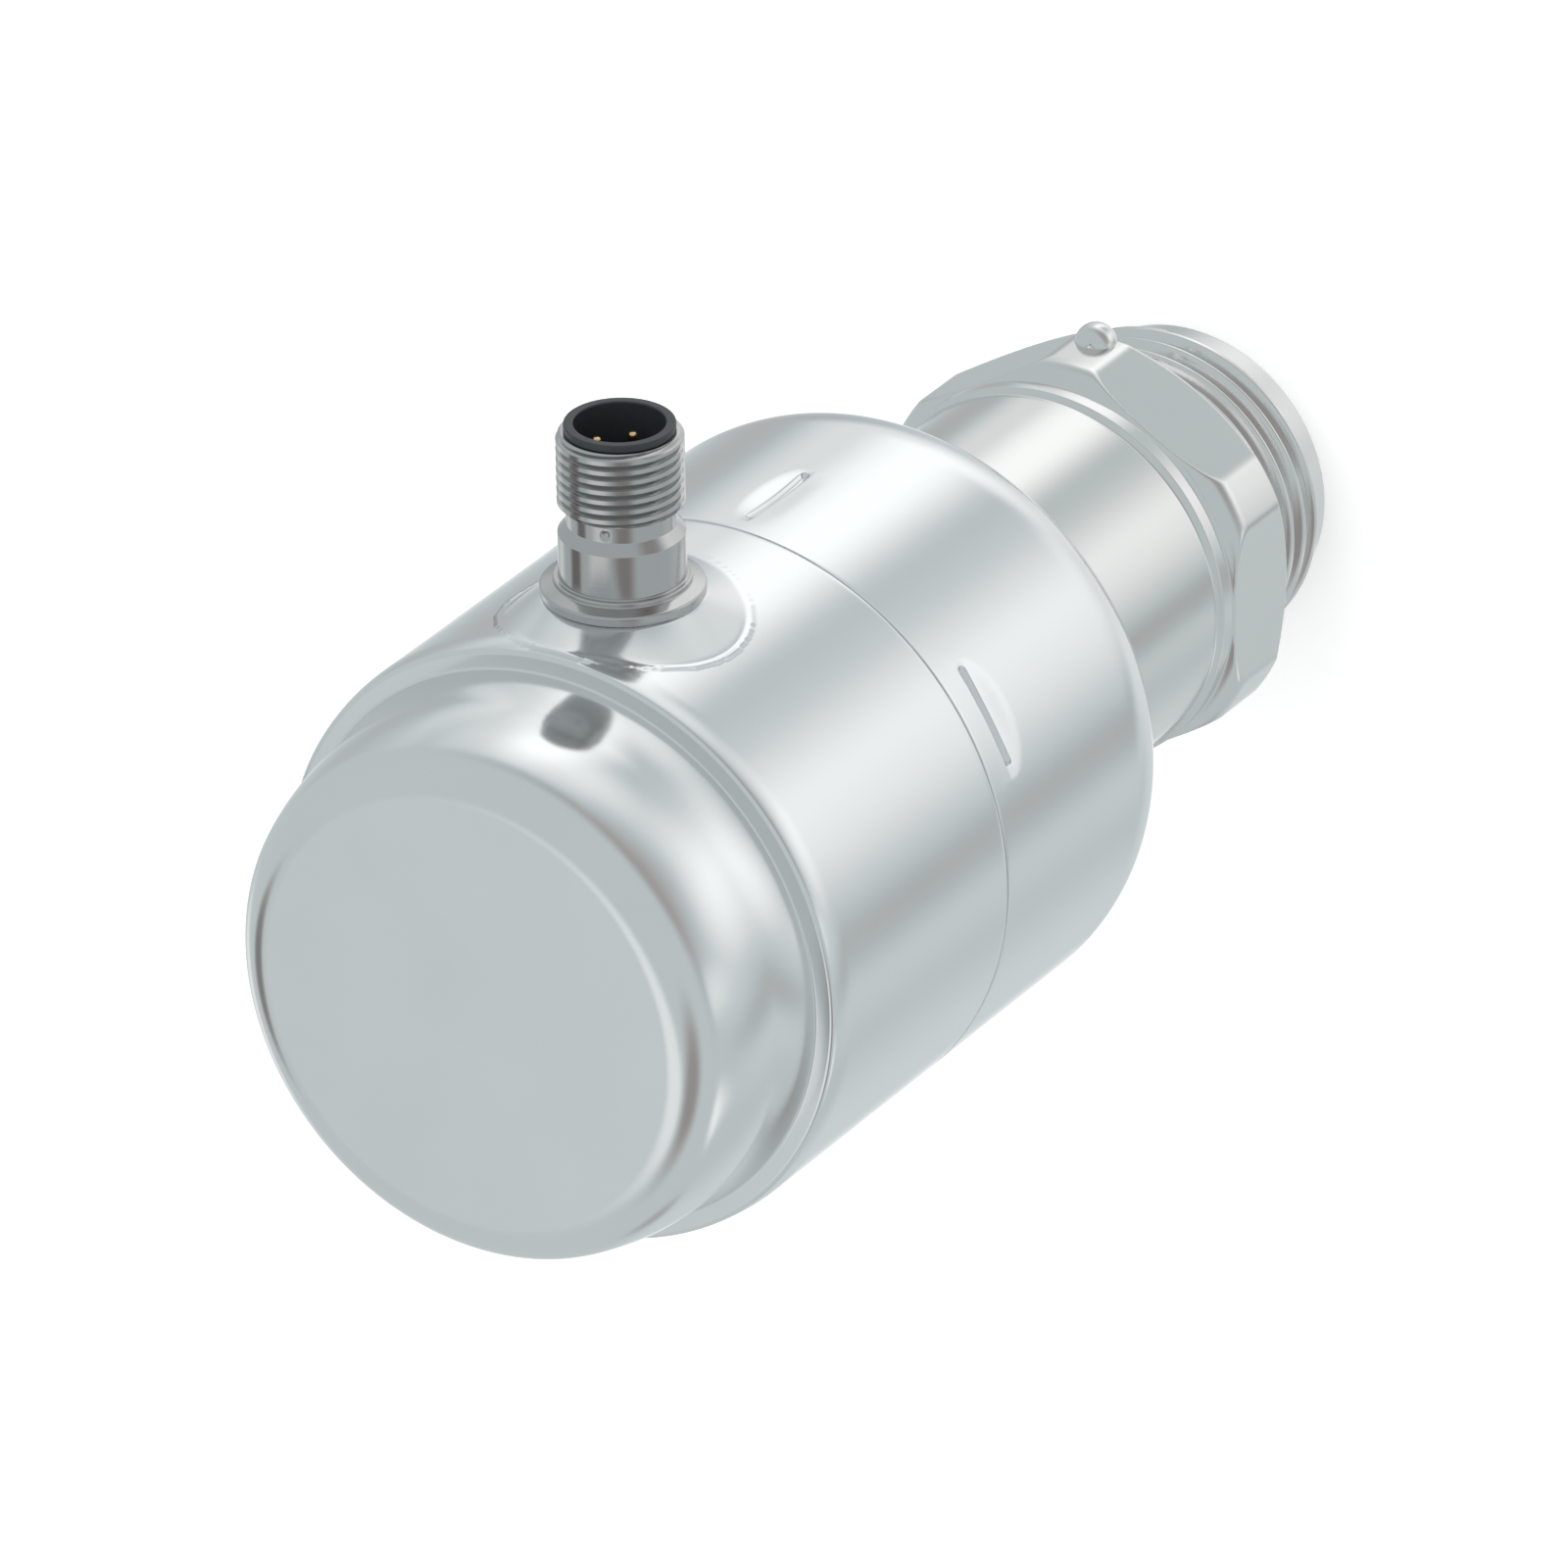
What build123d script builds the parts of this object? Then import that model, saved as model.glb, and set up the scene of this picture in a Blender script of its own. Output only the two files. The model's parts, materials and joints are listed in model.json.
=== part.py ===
"""Pressure sensor with a flush thread end, a turning round housing and a plug connector on its side.

Axis of the sensor is Z, the flush end is at z = 0 and the connector points along +X. All sizes in mm.
"""
import os
from math import acos, asin, atan2, cos, degrees, hypot, radians, sin, sqrt

from build123d import *

os.makedirs("parts", exist_ok=True)

# process connection, from the flush end backwards
thread_major_radius = 16.62
end_radius = thread_major_radius - 1.42
end_land_radius = thread_major_radius - 0.62
end_land_length = 3.5
thread_start = end_land_length + 0.6
thread_end = thread_start + 8.5
relief_radius = thread_major_radius - 1.52
relief_start = thread_end + 0.4
hex_front = relief_start + 2.1
hex_across_flats = 39.3
hex_turn = -1.0
hex_face_radius = hex_across_flats / 2 - 0.05
hex_land_radius = hex_across_flats / 2 + 1.65
hex_land_front = hex_front + 1.7
hex_rear = hex_front + 10.3
hex_land_rear = hex_rear - 2.7
hex_rear_mid = (hex_land_radius - 0.75, hex_rear - 0.8)
neck_radius = 19.1
groove_radius = neck_radius + 0.2
groove_end = hex_rear + 0.25
collar_radius = neck_radius + 0.55
collar_end = groove_end + 1.55
neck_start = collar_end + 0.6
neck_shoulder = 58.5
journal_radius = neck_radius - 1.9
journal_end = neck_shoulder + 8.5
bore_radius = relief_radius - 2.05

# flush measuring cell
cell_radius = bore_radius - 1.65
cell_pocket_radius = cell_radius + 0.15
lip_radius = cell_pocket_radius - 1.95
lip_thickness = 1.5
cell_face_radius = lip_radius - 0.3
membrane_thickness = 0.6
cell_step = lip_thickness + 0.5
cell_rear = cell_step + 6.6
cell_seal_inner = cell_face_radius + 0.05
cell_seal_lip = lip_radius - 0.05
cell_seal_start = 0.3
cell_hole_radius = cell_radius - 3.4
support_ring_radius = bore_radius - 0.15
support_ring_thickness = 2.0
clamp_nut_radius = bore_radius - 0.05
clamp_nut_thickness = 5.0
clamp_slot_width = 3.0
clamp_slot_depth = 1.2
spacer_inner = cell_hole_radius + 1.0
spacer_outer = spacer_inner + 1.4
spacer_length = 2.0
cell_board_radius = bore_radius - 1.05
board_thickness = 1.2
cell_pin_radius = 0.35
cell_pin_circle = 6.0
cell_pin_above_board = 1.0
cell_pin_hole_radius = cell_pin_radius + 0.1
cable_radius = 1.6

# ball in one land of the hexagon
ball_radius = 2.1
ball_height = hex_front + 2.8
ball_centre_radius = hex_land_radius - 0.3

# bearing of the housing on the neck
running = 0.05
lip_bottom = neck_shoulder + 0.1
lip_top = lip_bottom + 2.4
stop_lug_inner = journal_radius + 1.8
stop_lug_width = 2.4
bush_gap = 0.08
stop_lug_step = 0.7
stop_lug_top = journal_end
neck_groove_bottom = neck_shoulder - 4.1
neck_groove_top = neck_groove_bottom + 2.4
neck_groove_radius = neck_radius - 1.7
neck_ring_inner = neck_groove_radius + 0.05
neck_ring_outer = neck_radius + 0.03
neck_ring_width = 2.0
neck_ring_corner = 0.7
washer_outer = journal_radius + 1.4
washer_thickness = 0.8
ring_outer = washer_outer
ring_thickness = 1.2
ring_groove_radius = journal_radius - 1.0
ring_gap_angle = 24.0
ring_play = 0.05
stop_pin_radius = 1.0
stop_pin_fit = 0.02
stop_pin_height = journal_end - 1.7
stop_pin_inner = bore_radius + 0.55
stop_pin_outer = journal_radius + 3.4
hole_overrun = 1.0

# housing shells, each level measured from the one below it
wall = 1.0
body_radius = 30.3
dome_bore_radius = neck_radius + 0.3
dome_centre_radius = neck_radius + 0.2
dome_corner_radius = body_radius - dome_centre_radius
dome_floor = neck_shoulder - 5.9
floor_above_corner = 0.7
dome_corner_height = dome_floor - floor_above_corner + dome_corner_radius - wall
seam_height = dome_corner_height + 23.9
shoulder_radius = 12.0
shoulder_height = seam_height + 28.2
waist_radius = 5.0
rim_radius = body_radius - 4.05
rim_corner_radius = 4.5
rim_height = shoulder_height + 14.45

# pressed slots in the dome
slot_length = 10.4
slot_width = 0.9
slot_depth = 0.45
slot_reach = 2.0
cross_slot_angle = -59.5
cross_slot_height = seam_height - 3.8
long_slot_angle = -1.0
long_slot_height = seam_height - 8.2

# inside of the housing
sleeve_outer = body_radius - wall - running
sleeve_inner = sleeve_outer - 1.65
sleeve_bottom = seam_height - 6.0
sleeve_top = seam_height + 6.0
seam_groove_bottom = seam_height - 4.2
seam_groove_top = seam_groove_bottom + 1.8
seam_groove_radius = sleeve_outer - 1.25
seam_ring_width = 1.5
seam_ring_corner = 0.5
carrier_rim_outer = sleeve_outer - 0.05
carrier_outer = sleeve_inner - 0.1
carrier_inner = carrier_outer - 1.5
carrier_floor_bottom = seam_height - 3.4
carrier_floor_top = carrier_floor_bottom + 1.6
carrier_rim_top = sleeve_top + 1.2
carrier_hole = 6.0
post_radius = 2.6
post_circle = carrier_inner - 5.0
post_count = 4
post_turn = 45.0
pilot_radius = 1.05
pilot_depth = 5.0
main_board_bottom = carrier_floor_top + 6.4
main_board_radius = carrier_inner - 0.6
main_board_thickness = 1.6
screw_hole_radius = 1.35
screw_shank_radius = 1.0
screw_shank_length = 6.2
screw_head_radius = 2.2
screw_head_height = 1.5
socket_size = (8.0, 6.0, 4.0)
processor_size = (9.0, 9.0, 1.2)
processor_place = (-0.24 * main_board_radius, -0.28 * main_board_radius)
capacitor_radius = 3.1
capacitor_height = 6.0
capacitor_places = ((-0.47 * main_board_radius, 0.31 * main_board_radius),
                    (-0.16 * main_board_radius, 0.51 * main_board_radius))
inductor_size = (6.0, 6.0, 3.0)
inductor_place = (0.16 * main_board_radius, -0.55 * main_board_radius)
header_size = (5.0, 10.0, 5.0)
header_x = 0.51 * main_board_radius

# raised seat of the connector on the shell
m12_radius = 6.0
connector_height = seam_height + 18.34
flange_bottom = body_radius + 1.1
flange_radius = m12_radius + 1.8
spigot_radius = m12_radius + 0.3
seat_top_radius = flange_radius - 0.2
seat_foot_radius = seat_top_radius + 3.9
seat_low_level = flange_bottom - 5.4
seat_bore_radius = spigot_radius + 0.05
seat_inner_radius = seat_bore_radius + 3.65
seat_inner_level = flange_bottom - 4.4

# connector, along +X on both sides of its flange
insert_top = flange_bottom + 17.45
m12_start = insert_top - 1.25
m12_end = m12_start - 6.8
m12_lead = 0.5
waist_top = m12_end - 0.5
waist_bottom = waist_top - 1.5
connector_waist_radius = m12_radius - 0.8
barrel_top = waist_bottom - 1.0
step_top = flange_bottom + 1.9
step_radius = m12_radius + 0.5
flange_top = flange_bottom + 1.4
flange_edge = flange_bottom + 1.0
spigot_end = flange_bottom - 4.0
tail_radius = spigot_radius - 0.4
tail_end = flange_bottom - 9.4
connector_bore_radius = connector_waist_radius - 0.4
connector_ring_groove_top = flange_bottom - 1.0
connector_ring_groove_bottom = connector_ring_groove_top - 1.6
connector_ring_groove_radius = spigot_radius - 0.8
connector_ring_width = 1.3
connector_ring_corner = 0.3
dent_radius = 0.55
dent_depth = 0.3
dent_x = (waist_top + waist_bottom) / 2
dent_angles = (-135.0, -15.0, 105.0)
insert_tube_radius = connector_bore_radius - 0.05
insert_rim_radius = insert_tube_radius + 0.5
insert_rim_depth = 0.75
insert_bore_radius = insert_tube_radius - 0.45
insert_floor = insert_top - 7.65
insert_bottom = tail_end + 0.5
pin_radius = 0.5
pin_circle = 2.5
pin_turn = 3.0
pin_tip = insert_top - 2.1
pin_tail = tail_end - 1.5
pin_fit = 0.02
nut_across_flats = 14.0
nut_thickness = 3.4
wire_radius = 0.6
wire_bend = 1.5
wire_spread = 1.2

body_z = Axis.Z


# the pressure-tight steel body: thread end, hexagon, collar and neck
clamp_bottom = cell_rear + support_ring_thickness
clamp_top = clamp_bottom + clamp_nut_thickness
washer_bottom = lip_top + ring_play
ring_bottom = washer_bottom + washer_thickness + ring_play
ring_top = ring_bottom + ring_thickness

with BuildPart() as process_connection:
    with BuildSketch(Plane.XZ):
        with BuildLine():
            Polyline((0, hex_front), (hex_face_radius, hex_front), (hex_land_radius, hex_land_front),
                     (hex_land_radius, hex_land_rear))
            ThreePointArc((hex_land_radius, hex_land_rear), hex_rear_mid, (hex_face_radius, hex_rear))
            Polyline((hex_face_radius, hex_rear), (0, hex_rear), (0, hex_front))
        make_face()
    revolve(axis=body_z)
    with BuildSketch(Plane.XY.offset(hex_front)):
        with Locations(Rotation(0, 0, hex_turn)):
            RegularPolygon(hex_across_flats / 2, 6, major_radius=False)
    extrude(amount=hex_rear - hex_front, mode=Mode.INTERSECT)
    with BuildSketch(Plane.XZ):
        with BuildLine():
            Polyline((0, 0), (end_radius, 0), (end_land_radius, end_land_length),
                     (thread_major_radius, thread_start), (thread_major_radius, thread_end),
                     (relief_radius, relief_start), (relief_radius, hex_front), (0, hex_front), (0, 0))
        make_face()
        with BuildLine():
            Polyline((0, hex_rear), (groove_radius, hex_rear), (groove_radius, groove_end),
                     (collar_radius, groove_end), (collar_radius, collar_end),
                     (neck_radius, neck_start), (neck_radius, neck_groove_bottom),
                     (neck_groove_radius, neck_groove_bottom), (neck_groove_radius, neck_groove_top),
                     (neck_radius, neck_groove_top), (neck_radius, neck_shoulder),
                     (journal_radius, neck_shoulder), (journal_radius, ring_bottom - ring_play),
                     (ring_groove_radius, ring_bottom - ring_play),
                     (ring_groove_radius, ring_top + ring_play), (journal_radius, ring_top + ring_play),
                     (journal_radius, journal_end), (0, journal_end), (0, hex_rear))
        make_face()
    revolve(axis=body_z)
    with BuildSketch(Plane.XZ):
        with BuildLine():
            Polyline((0, 0), (lip_radius, 0), (lip_radius, lip_thickness),
                     (cell_pocket_radius, lip_thickness), (cell_pocket_radius, cell_rear),
                     (bore_radius, cell_rear), (bore_radius, journal_end), (0, journal_end), (0, 0))
        make_face()
    revolve(axis=body_z, mode=Mode.SUBTRACT)
    with BuildSketch(Plane.YZ.offset(ball_centre_radius - ball_radius)):
        with Locations((0, ball_height)):
            Circle(ball_radius)
    extrude(amount=hex_land_radius, mode=Mode.SUBTRACT)
    with BuildSketch(Plane.XZ.offset(bore_radius - hole_overrun)):
        with Locations((0, stop_pin_height)):
            Circle(stop_pin_radius + stop_pin_fit)
    extrude(amount=journal_radius - bore_radius + 2 * hole_overrun, mode=Mode.SUBTRACT)
process_connection.part.label = "process_connection"
export_step(process_connection.part, "parts/process_connection.step")

with BuildPart() as fill_port_ball:
    with Locations((ball_centre_radius, 0, ball_height)):
        Sphere(ball_radius)
fill_port_ball.part.label = "fill_port_ball"
export_step(fill_port_ball.part, "parts/fill_port_ball.step")


# flush measuring cell and what holds it
with BuildPart() as cell_membrane:
    Cylinder(cell_face_radius, membrane_thickness, align=(Align.CENTER, Align.CENTER, Align.MIN))
cell_membrane.part.label = "cell_membrane"
export_step(cell_membrane.part, "parts/cell_membrane.step")

with BuildPart() as cell_base:
    with BuildSketch(Plane.XZ):
        with BuildLine():
            Polyline((0, membrane_thickness), (cell_face_radius, membrane_thickness),
                     (cell_face_radius, cell_step), (cell_radius, cell_step),
                     (cell_radius, cell_rear), (0, cell_rear), (0, membrane_thickness))
        make_face()
    revolve(axis=body_z)
cell_base.part.label = "cell_base"
export_step(cell_base.part, "parts/cell_base.step")

with BuildPart() as cell_seal:
    with BuildSketch(Plane.XZ):
        with BuildLine():
            Polyline((cell_seal_inner, cell_seal_start), (cell_seal_lip, cell_seal_start),
                     (cell_seal_lip, lip_thickness),
                     (cell_radius, lip_thickness), (cell_radius, cell_step),
                     (cell_seal_inner, cell_step), (cell_seal_inner, cell_seal_start))
        make_face()
    revolve(axis=body_z)
cell_seal.part.label = "cell_seal"
export_step(cell_seal.part, "parts/cell_seal.step")

with BuildPart() as cell_support_ring:
    with BuildSketch(Plane.XY.offset(cell_rear)):
        Circle(support_ring_radius)
        Circle(cell_hole_radius, mode=Mode.SUBTRACT)
    extrude(amount=support_ring_thickness)
cell_support_ring.part.label = "cell_support_ring"
export_step(cell_support_ring.part, "parts/cell_support_ring.step")

with BuildPart() as cell_clamp_nut:
    with BuildSketch(Plane.XY.offset(clamp_bottom)):
        Circle(clamp_nut_radius)
        Circle(cell_hole_radius, mode=Mode.SUBTRACT)
    extrude(amount=clamp_nut_thickness)
    with BuildSketch(Plane.XY.offset(clamp_top - clamp_slot_depth)):
        Rectangle(2 * clamp_nut_radius, clamp_slot_width)
    extrude(amount=clamp_slot_depth, mode=Mode.SUBTRACT)
cell_clamp_nut.part.label = "cell_clamp_nut"
export_step(cell_clamp_nut.part, "parts/cell_clamp_nut.step")

with BuildPart() as board_spacer:
    with BuildSketch(Plane.XY.offset(clamp_top)):
        Circle(spacer_outer)
        Circle(spacer_inner, mode=Mode.SUBTRACT)
    extrude(amount=spacer_length)
board_spacer.part.label = "board_spacer"
export_step(board_spacer.part, "parts/board_spacer.step")

cell_board_bottom = clamp_top + spacer_length
cell_board_top = cell_board_bottom + board_thickness
with BuildPart() as cell_board:
    with BuildSketch(Plane.XY.offset(cell_board_bottom)):
        Circle(cell_board_radius)
        with PolarLocations(cell_pin_circle, 4):
            Circle(cell_pin_hole_radius, mode=Mode.SUBTRACT)
    extrude(amount=board_thickness)
cell_board.part.label = "cell_board"
export_step(cell_board.part, "parts/cell_board.step")

with BuildPart() as cell_pins:
    with BuildSketch(Plane.XY.offset(cell_rear)):
        with PolarLocations(cell_pin_circle, 4):
            Circle(cell_pin_radius)
    extrude(amount=cell_board_top + cell_pin_above_board - cell_rear)
cell_pins.part.label = "cell_pins"
export_step(cell_pins.part, "parts/cell_pins.step")

cable_top = main_board_bottom - socket_size[2]
with BuildPart() as cell_cable:
    with BuildSketch(Plane.XY.offset(cell_board_top)):
        Circle(cable_radius)
    extrude(amount=cable_top - cell_board_top)
cell_cable.part.label = "cell_cable"
export_step(cell_cable.part, "parts/cell_cable.step")


# bearing, seal and stop between neck and housing
with BuildPart() as neck_oring:
    with BuildSketch(Plane.XZ):
        with Locations(((neck_ring_inner + neck_ring_outer) / 2,
                        (neck_groove_bottom + neck_groove_top) / 2)):
            RectangleRounded(neck_ring_outer - neck_ring_inner, neck_ring_width, neck_ring_corner)
    revolve(axis=body_z)
neck_oring.part.label = "neck_oring"
export_step(neck_oring.part, "parts/neck_oring.step")

with BuildPart() as thrust_washer:
    with BuildSketch(Plane.XY.offset(washer_bottom)):
        Circle(washer_outer)
        Circle(journal_radius + running, mode=Mode.SUBTRACT)
    extrude(amount=washer_thickness)
thrust_washer.part.label = "thrust_washer"
export_step(thrust_washer.part, "parts/thrust_washer.step")

with BuildPart() as retaining_ring:
    with BuildSketch(Plane.XY.offset(ring_bottom)):
        Circle(ring_outer)
        Circle(ring_groove_radius + running, mode=Mode.SUBTRACT)
        with BuildLine():
            reach = 2 * ring_outer
            half_gap = radians(ring_gap_angle / 2)
            Polyline((0, 0), (reach * cos(half_gap), reach * sin(half_gap)),
                     (reach * cos(half_gap), -reach * sin(half_gap)), (0, 0))
        make_face(mode=Mode.SUBTRACT)
    extrude(amount=ring_thickness)
retaining_ring.part.label = "retaining_ring"
export_step(retaining_ring.part, "parts/retaining_ring.step")

with BuildPart() as stop_pin:
    with BuildSketch(Plane.XZ.offset(stop_pin_inner)):
        with Locations((0, stop_pin_height)):
            Circle(stop_pin_radius)
    extrude(amount=stop_pin_outer - stop_pin_inner)
stop_pin.part.label = "stop_pin"
export_step(stop_pin.part, "parts/stop_pin.step")

# the bush fills the flat floor of the dome, up to where its inner corner begins
inner_start_angle = -degrees(asin((dome_corner_height - dome_floor) / (dome_corner_radius - wall)))
inner_start = (dome_centre_radius + (dome_corner_radius - wall) * cos(radians(inner_start_angle)), dome_floor)
bush_outer = inner_start[0] - bush_gap
stop_lug_outer = bush_outer - stop_lug_step

with BuildPart() as bearing_bush:
    with BuildSketch(Plane.XZ):
        with BuildLine():
            Polyline((neck_radius + running, dome_floor), (bush_outer, dome_floor),
                     (bush_outer, lip_top), (journal_radius + running, lip_top),
                     (journal_radius + running, lip_bottom), (neck_radius + running, lip_bottom),
                     (neck_radius + running, dome_floor))
        make_face()
    revolve(axis=body_z)
    with BuildSketch(Plane.XY.offset(lip_top)):
        with Locations((0, (stop_lug_inner + stop_lug_outer) / 2)):
            Rectangle(stop_lug_width, stop_lug_outer - stop_lug_inner)
    extrude(amount=stop_lug_top - lip_top)
bearing_bush.part.label = "bearing_bush"
export_step(bearing_bush.part, "parts/bearing_bush.step")


# rear shell with its two pressed slots
def arc_point(centre, radius, angle):
    """Point on a circle in the section plane, angle in degrees from the outward direction."""
    return (centre[0] + radius * cos(radians(angle)), centre[1] + radius * sin(radians(angle)))


dome_centre = (dome_centre_radius, dome_corner_height)
dome_start_angle = -degrees(acos((dome_bore_radius - dome_centre_radius) / dome_corner_radius))
dome_start = arc_point(dome_centre, dome_corner_radius, dome_start_angle)

slot_band = Pos(0, 0, (seam_height + dome_corner_height) / 2) * Cylinder(
    body_radius - slot_depth, seam_height - dome_corner_height)
cross_slot_plane = Plane(origin=(0, 0, cross_slot_height),
                         x_dir=(-sin(radians(cross_slot_angle)), cos(radians(cross_slot_angle)), 0),
                         z_dir=(cos(radians(cross_slot_angle)), sin(radians(cross_slot_angle)), 0))
long_slot_plane = Plane(origin=(0, 0, long_slot_height), x_dir=(0, 0, 1),
                        z_dir=(cos(radians(long_slot_angle)), sin(radians(long_slot_angle)), 0))
slot_cutters = [extrude(plane.offset(body_radius - slot_reach) * SlotOverall(slot_length, slot_width),
                        2 * slot_reach) - slot_band
                for plane in (cross_slot_plane, long_slot_plane)]

with BuildPart() as rear_dome:
    with BuildSketch(Plane.XZ):
        with BuildLine():
            Line((body_radius - wall, seam_height), (body_radius, seam_height))
            Line((body_radius, seam_height), (body_radius, dome_corner_height))
            ThreePointArc((body_radius, dome_corner_height),
                          arc_point(dome_centre, dome_corner_radius, dome_start_angle / 2), dome_start)
            Line(dome_start, (dome_bore_radius, dome_floor))
            Line((dome_bore_radius, dome_floor), inner_start)
            ThreePointArc(inner_start,
                          arc_point(dome_centre, dome_corner_radius - wall, inner_start_angle / 2),
                          (body_radius - wall, dome_corner_height))
            Line((body_radius - wall, dome_corner_height), (body_radius - wall, seam_height))
        make_face()
    revolve(axis=body_z)
    for cutter in slot_cutters:
        add(cutter, mode=Mode.SUBTRACT)
rear_dome.part.label = "rear_dome"
export_step(rear_dome.part, "parts/rear_dome.step")


# front shell: straight body, shoulder, waist and rounded rim, each a tangent arc
shoulder_centre = (body_radius - shoulder_radius, shoulder_height)
rim_centre = (rim_radius - rim_corner_radius, rim_height)
centre_run = hypot(rim_centre[0] - shoulder_centre[0], rim_centre[1] - shoulder_centre[1])
run_unit = ((rim_centre[0] - shoulder_centre[0]) / centre_run,
            (rim_centre[1] - shoulder_centre[1]) / centre_run)
shoulder_reach = shoulder_radius + waist_radius
rim_reach = rim_corner_radius + waist_radius
along = (centre_run ** 2 + shoulder_reach ** 2 - rim_reach ** 2) / (2 * centre_run)
across = sqrt(shoulder_reach ** 2 - along ** 2)
waist_centre = (shoulder_centre[0] + along * run_unit[0] + across * run_unit[1],
                shoulder_centre[1] + along * run_unit[1] - across * run_unit[0])
shoulder_angle = degrees(atan2(waist_centre[1] - shoulder_centre[1], waist_centre[0] - shoulder_centre[0]))
rim_angle = degrees(atan2(waist_centre[1] - rim_centre[1], waist_centre[0] - rim_centre[0]))


def shell_section(inset):
    """Section of the front shell, moved inwards by inset, as a closed outline to the axis."""
    body = body_radius - inset
    shoulder = shoulder_radius - inset
    waist = waist_radius + inset
    rim = rim_corner_radius - inset
    top = rim_height + rim
    shoulder_end = arc_point(shoulder_centre, shoulder, shoulder_angle)
    rim_start = arc_point(rim_centre, rim, rim_angle)
    with BuildSketch(Plane.XZ) as section:
        with BuildLine():
            Line((0, seam_height), (body, seam_height))
            Line((body, seam_height), (body, shoulder_height))
            ThreePointArc((body, shoulder_height),
                          arc_point(shoulder_centre, shoulder, shoulder_angle / 2), shoulder_end)
            ThreePointArc(shoulder_end,
                          arc_point(waist_centre, waist, 180 + (shoulder_angle + rim_angle) / 2), rim_start)
            ThreePointArc(rim_start, arc_point(rim_centre, rim, (90 + rim_angle) / 2), (rim_centre[0], top))
            Line((rim_centre[0], top), (0, top))
            Line((0, top), (0, seam_height))
        make_face()
    return section.sketch


# the seat is lofted from the flange circle to a wide ellipse, so its foot meets the round shell
# at one distance from the connector axis on every side
side_level = sqrt(body_radius ** 2 - seat_foot_radius ** 2)
seat_run = seat_foot_radius - seat_top_radius
seat_fall = flange_bottom - seat_low_level
seat_side = seat_top_radius + seat_run * seat_fall / (flange_bottom - side_level)
seat_length = seat_top_radius + seat_run * seat_fall / (flange_bottom - body_radius)

with BuildPart() as front_shell:
    with BuildSketch(Plane.YZ.offset(seat_low_level)):
        with Locations((0, connector_height)):
            Ellipse(seat_side, seat_length)
    with BuildSketch(Plane.YZ.offset(flange_bottom)):
        with Locations((0, connector_height)):
            Circle(seat_top_radius)
    loft(ruled=True)
    with BuildSketch(Plane.YZ.offset(seat_low_level)):
        with Locations((0, connector_height)):
            Circle(seat_foot_radius + 1)
    extrude(amount=flange_bottom - seat_low_level, mode=Mode.INTERSECT)
    add(revolve(shell_section(0), axis=body_z))
    add(revolve(shell_section(wall), axis=body_z), mode=Mode.SUBTRACT)
    with BuildSketch(Plane.YZ.offset(seat_inner_level)):
        with Locations((0, connector_height)):
            Circle(seat_inner_radius)
    extrude(amount=body_radius - wall - seat_inner_level)
    with BuildSketch(Plane.YZ):
        with Locations((0, connector_height)):
            Circle(seat_bore_radius)
    extrude(amount=insert_top, mode=Mode.SUBTRACT)
front_shell.part.label = "front_shell"
export_step(front_shell.part, "parts/front_shell.step")


# inside of the housing
with BuildPart() as joint_sleeve:
    with BuildSketch(Plane.XZ):
        with BuildLine():
            Polyline((sleeve_inner, sleeve_bottom), (sleeve_outer, sleeve_bottom),
                     (sleeve_outer, seam_groove_bottom), (seam_groove_radius, seam_groove_bottom),
                     (seam_groove_radius, seam_groove_top), (sleeve_outer, seam_groove_top),
                     (sleeve_outer, sleeve_top), (sleeve_inner, sleeve_top), (sleeve_inner, sleeve_bottom))
        make_face()
    revolve(axis=body_z)
joint_sleeve.part.label = "joint_sleeve"
export_step(joint_sleeve.part, "parts/joint_sleeve.step")

with BuildPart() as seam_oring:
    with BuildSketch(Plane.XZ):
        with Locations(((seam_groove_radius + sleeve_outer) / 2 + running / 2,
                        (seam_groove_bottom + seam_groove_top) / 2)):
            RectangleRounded(sleeve_outer - seam_groove_radius - running, seam_ring_width,
                             seam_ring_corner)
    revolve(axis=body_z)
seam_oring.part.label = "seam_oring"
export_step(seam_oring.part, "parts/seam_oring.step")

with BuildPart() as board_carrier:
    with BuildSketch(Plane.XZ):
        with BuildLine():
            Polyline((carrier_hole, carrier_floor_bottom), (carrier_outer, carrier_floor_bottom),
                     (carrier_outer, sleeve_top), (carrier_rim_outer, sleeve_top),
                     (carrier_rim_outer, carrier_rim_top), (carrier_inner, carrier_rim_top),
                     (carrier_inner, carrier_floor_top), (carrier_hole, carrier_floor_top),
                     (carrier_hole, carrier_floor_bottom))
        make_face()
    revolve(axis=body_z)
    with BuildSketch(Plane.XY.offset(carrier_floor_top)):
        with PolarLocations(post_circle, post_count, start_angle=post_turn):
            Circle(post_radius)
    extrude(amount=main_board_bottom - carrier_floor_top)
    with BuildSketch(Plane.XY.offset(main_board_bottom - pilot_depth)):
        with PolarLocations(post_circle, post_count, start_angle=post_turn):
            Circle(pilot_radius)
    extrude(amount=pilot_depth, mode=Mode.SUBTRACT)
board_carrier.part.label = "board_carrier"
export_step(board_carrier.part, "parts/board_carrier.step")

with BuildPart() as main_board:
    with BuildSketch(Plane.XY.offset(main_board_bottom)):
        Circle(main_board_radius)
        with PolarLocations(post_circle, post_count, start_angle=post_turn):
            Circle(screw_hole_radius, mode=Mode.SUBTRACT)
    extrude(amount=main_board_thickness)
main_board.part.label = "main_board"
export_step(main_board.part, "parts/main_board.step")

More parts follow.
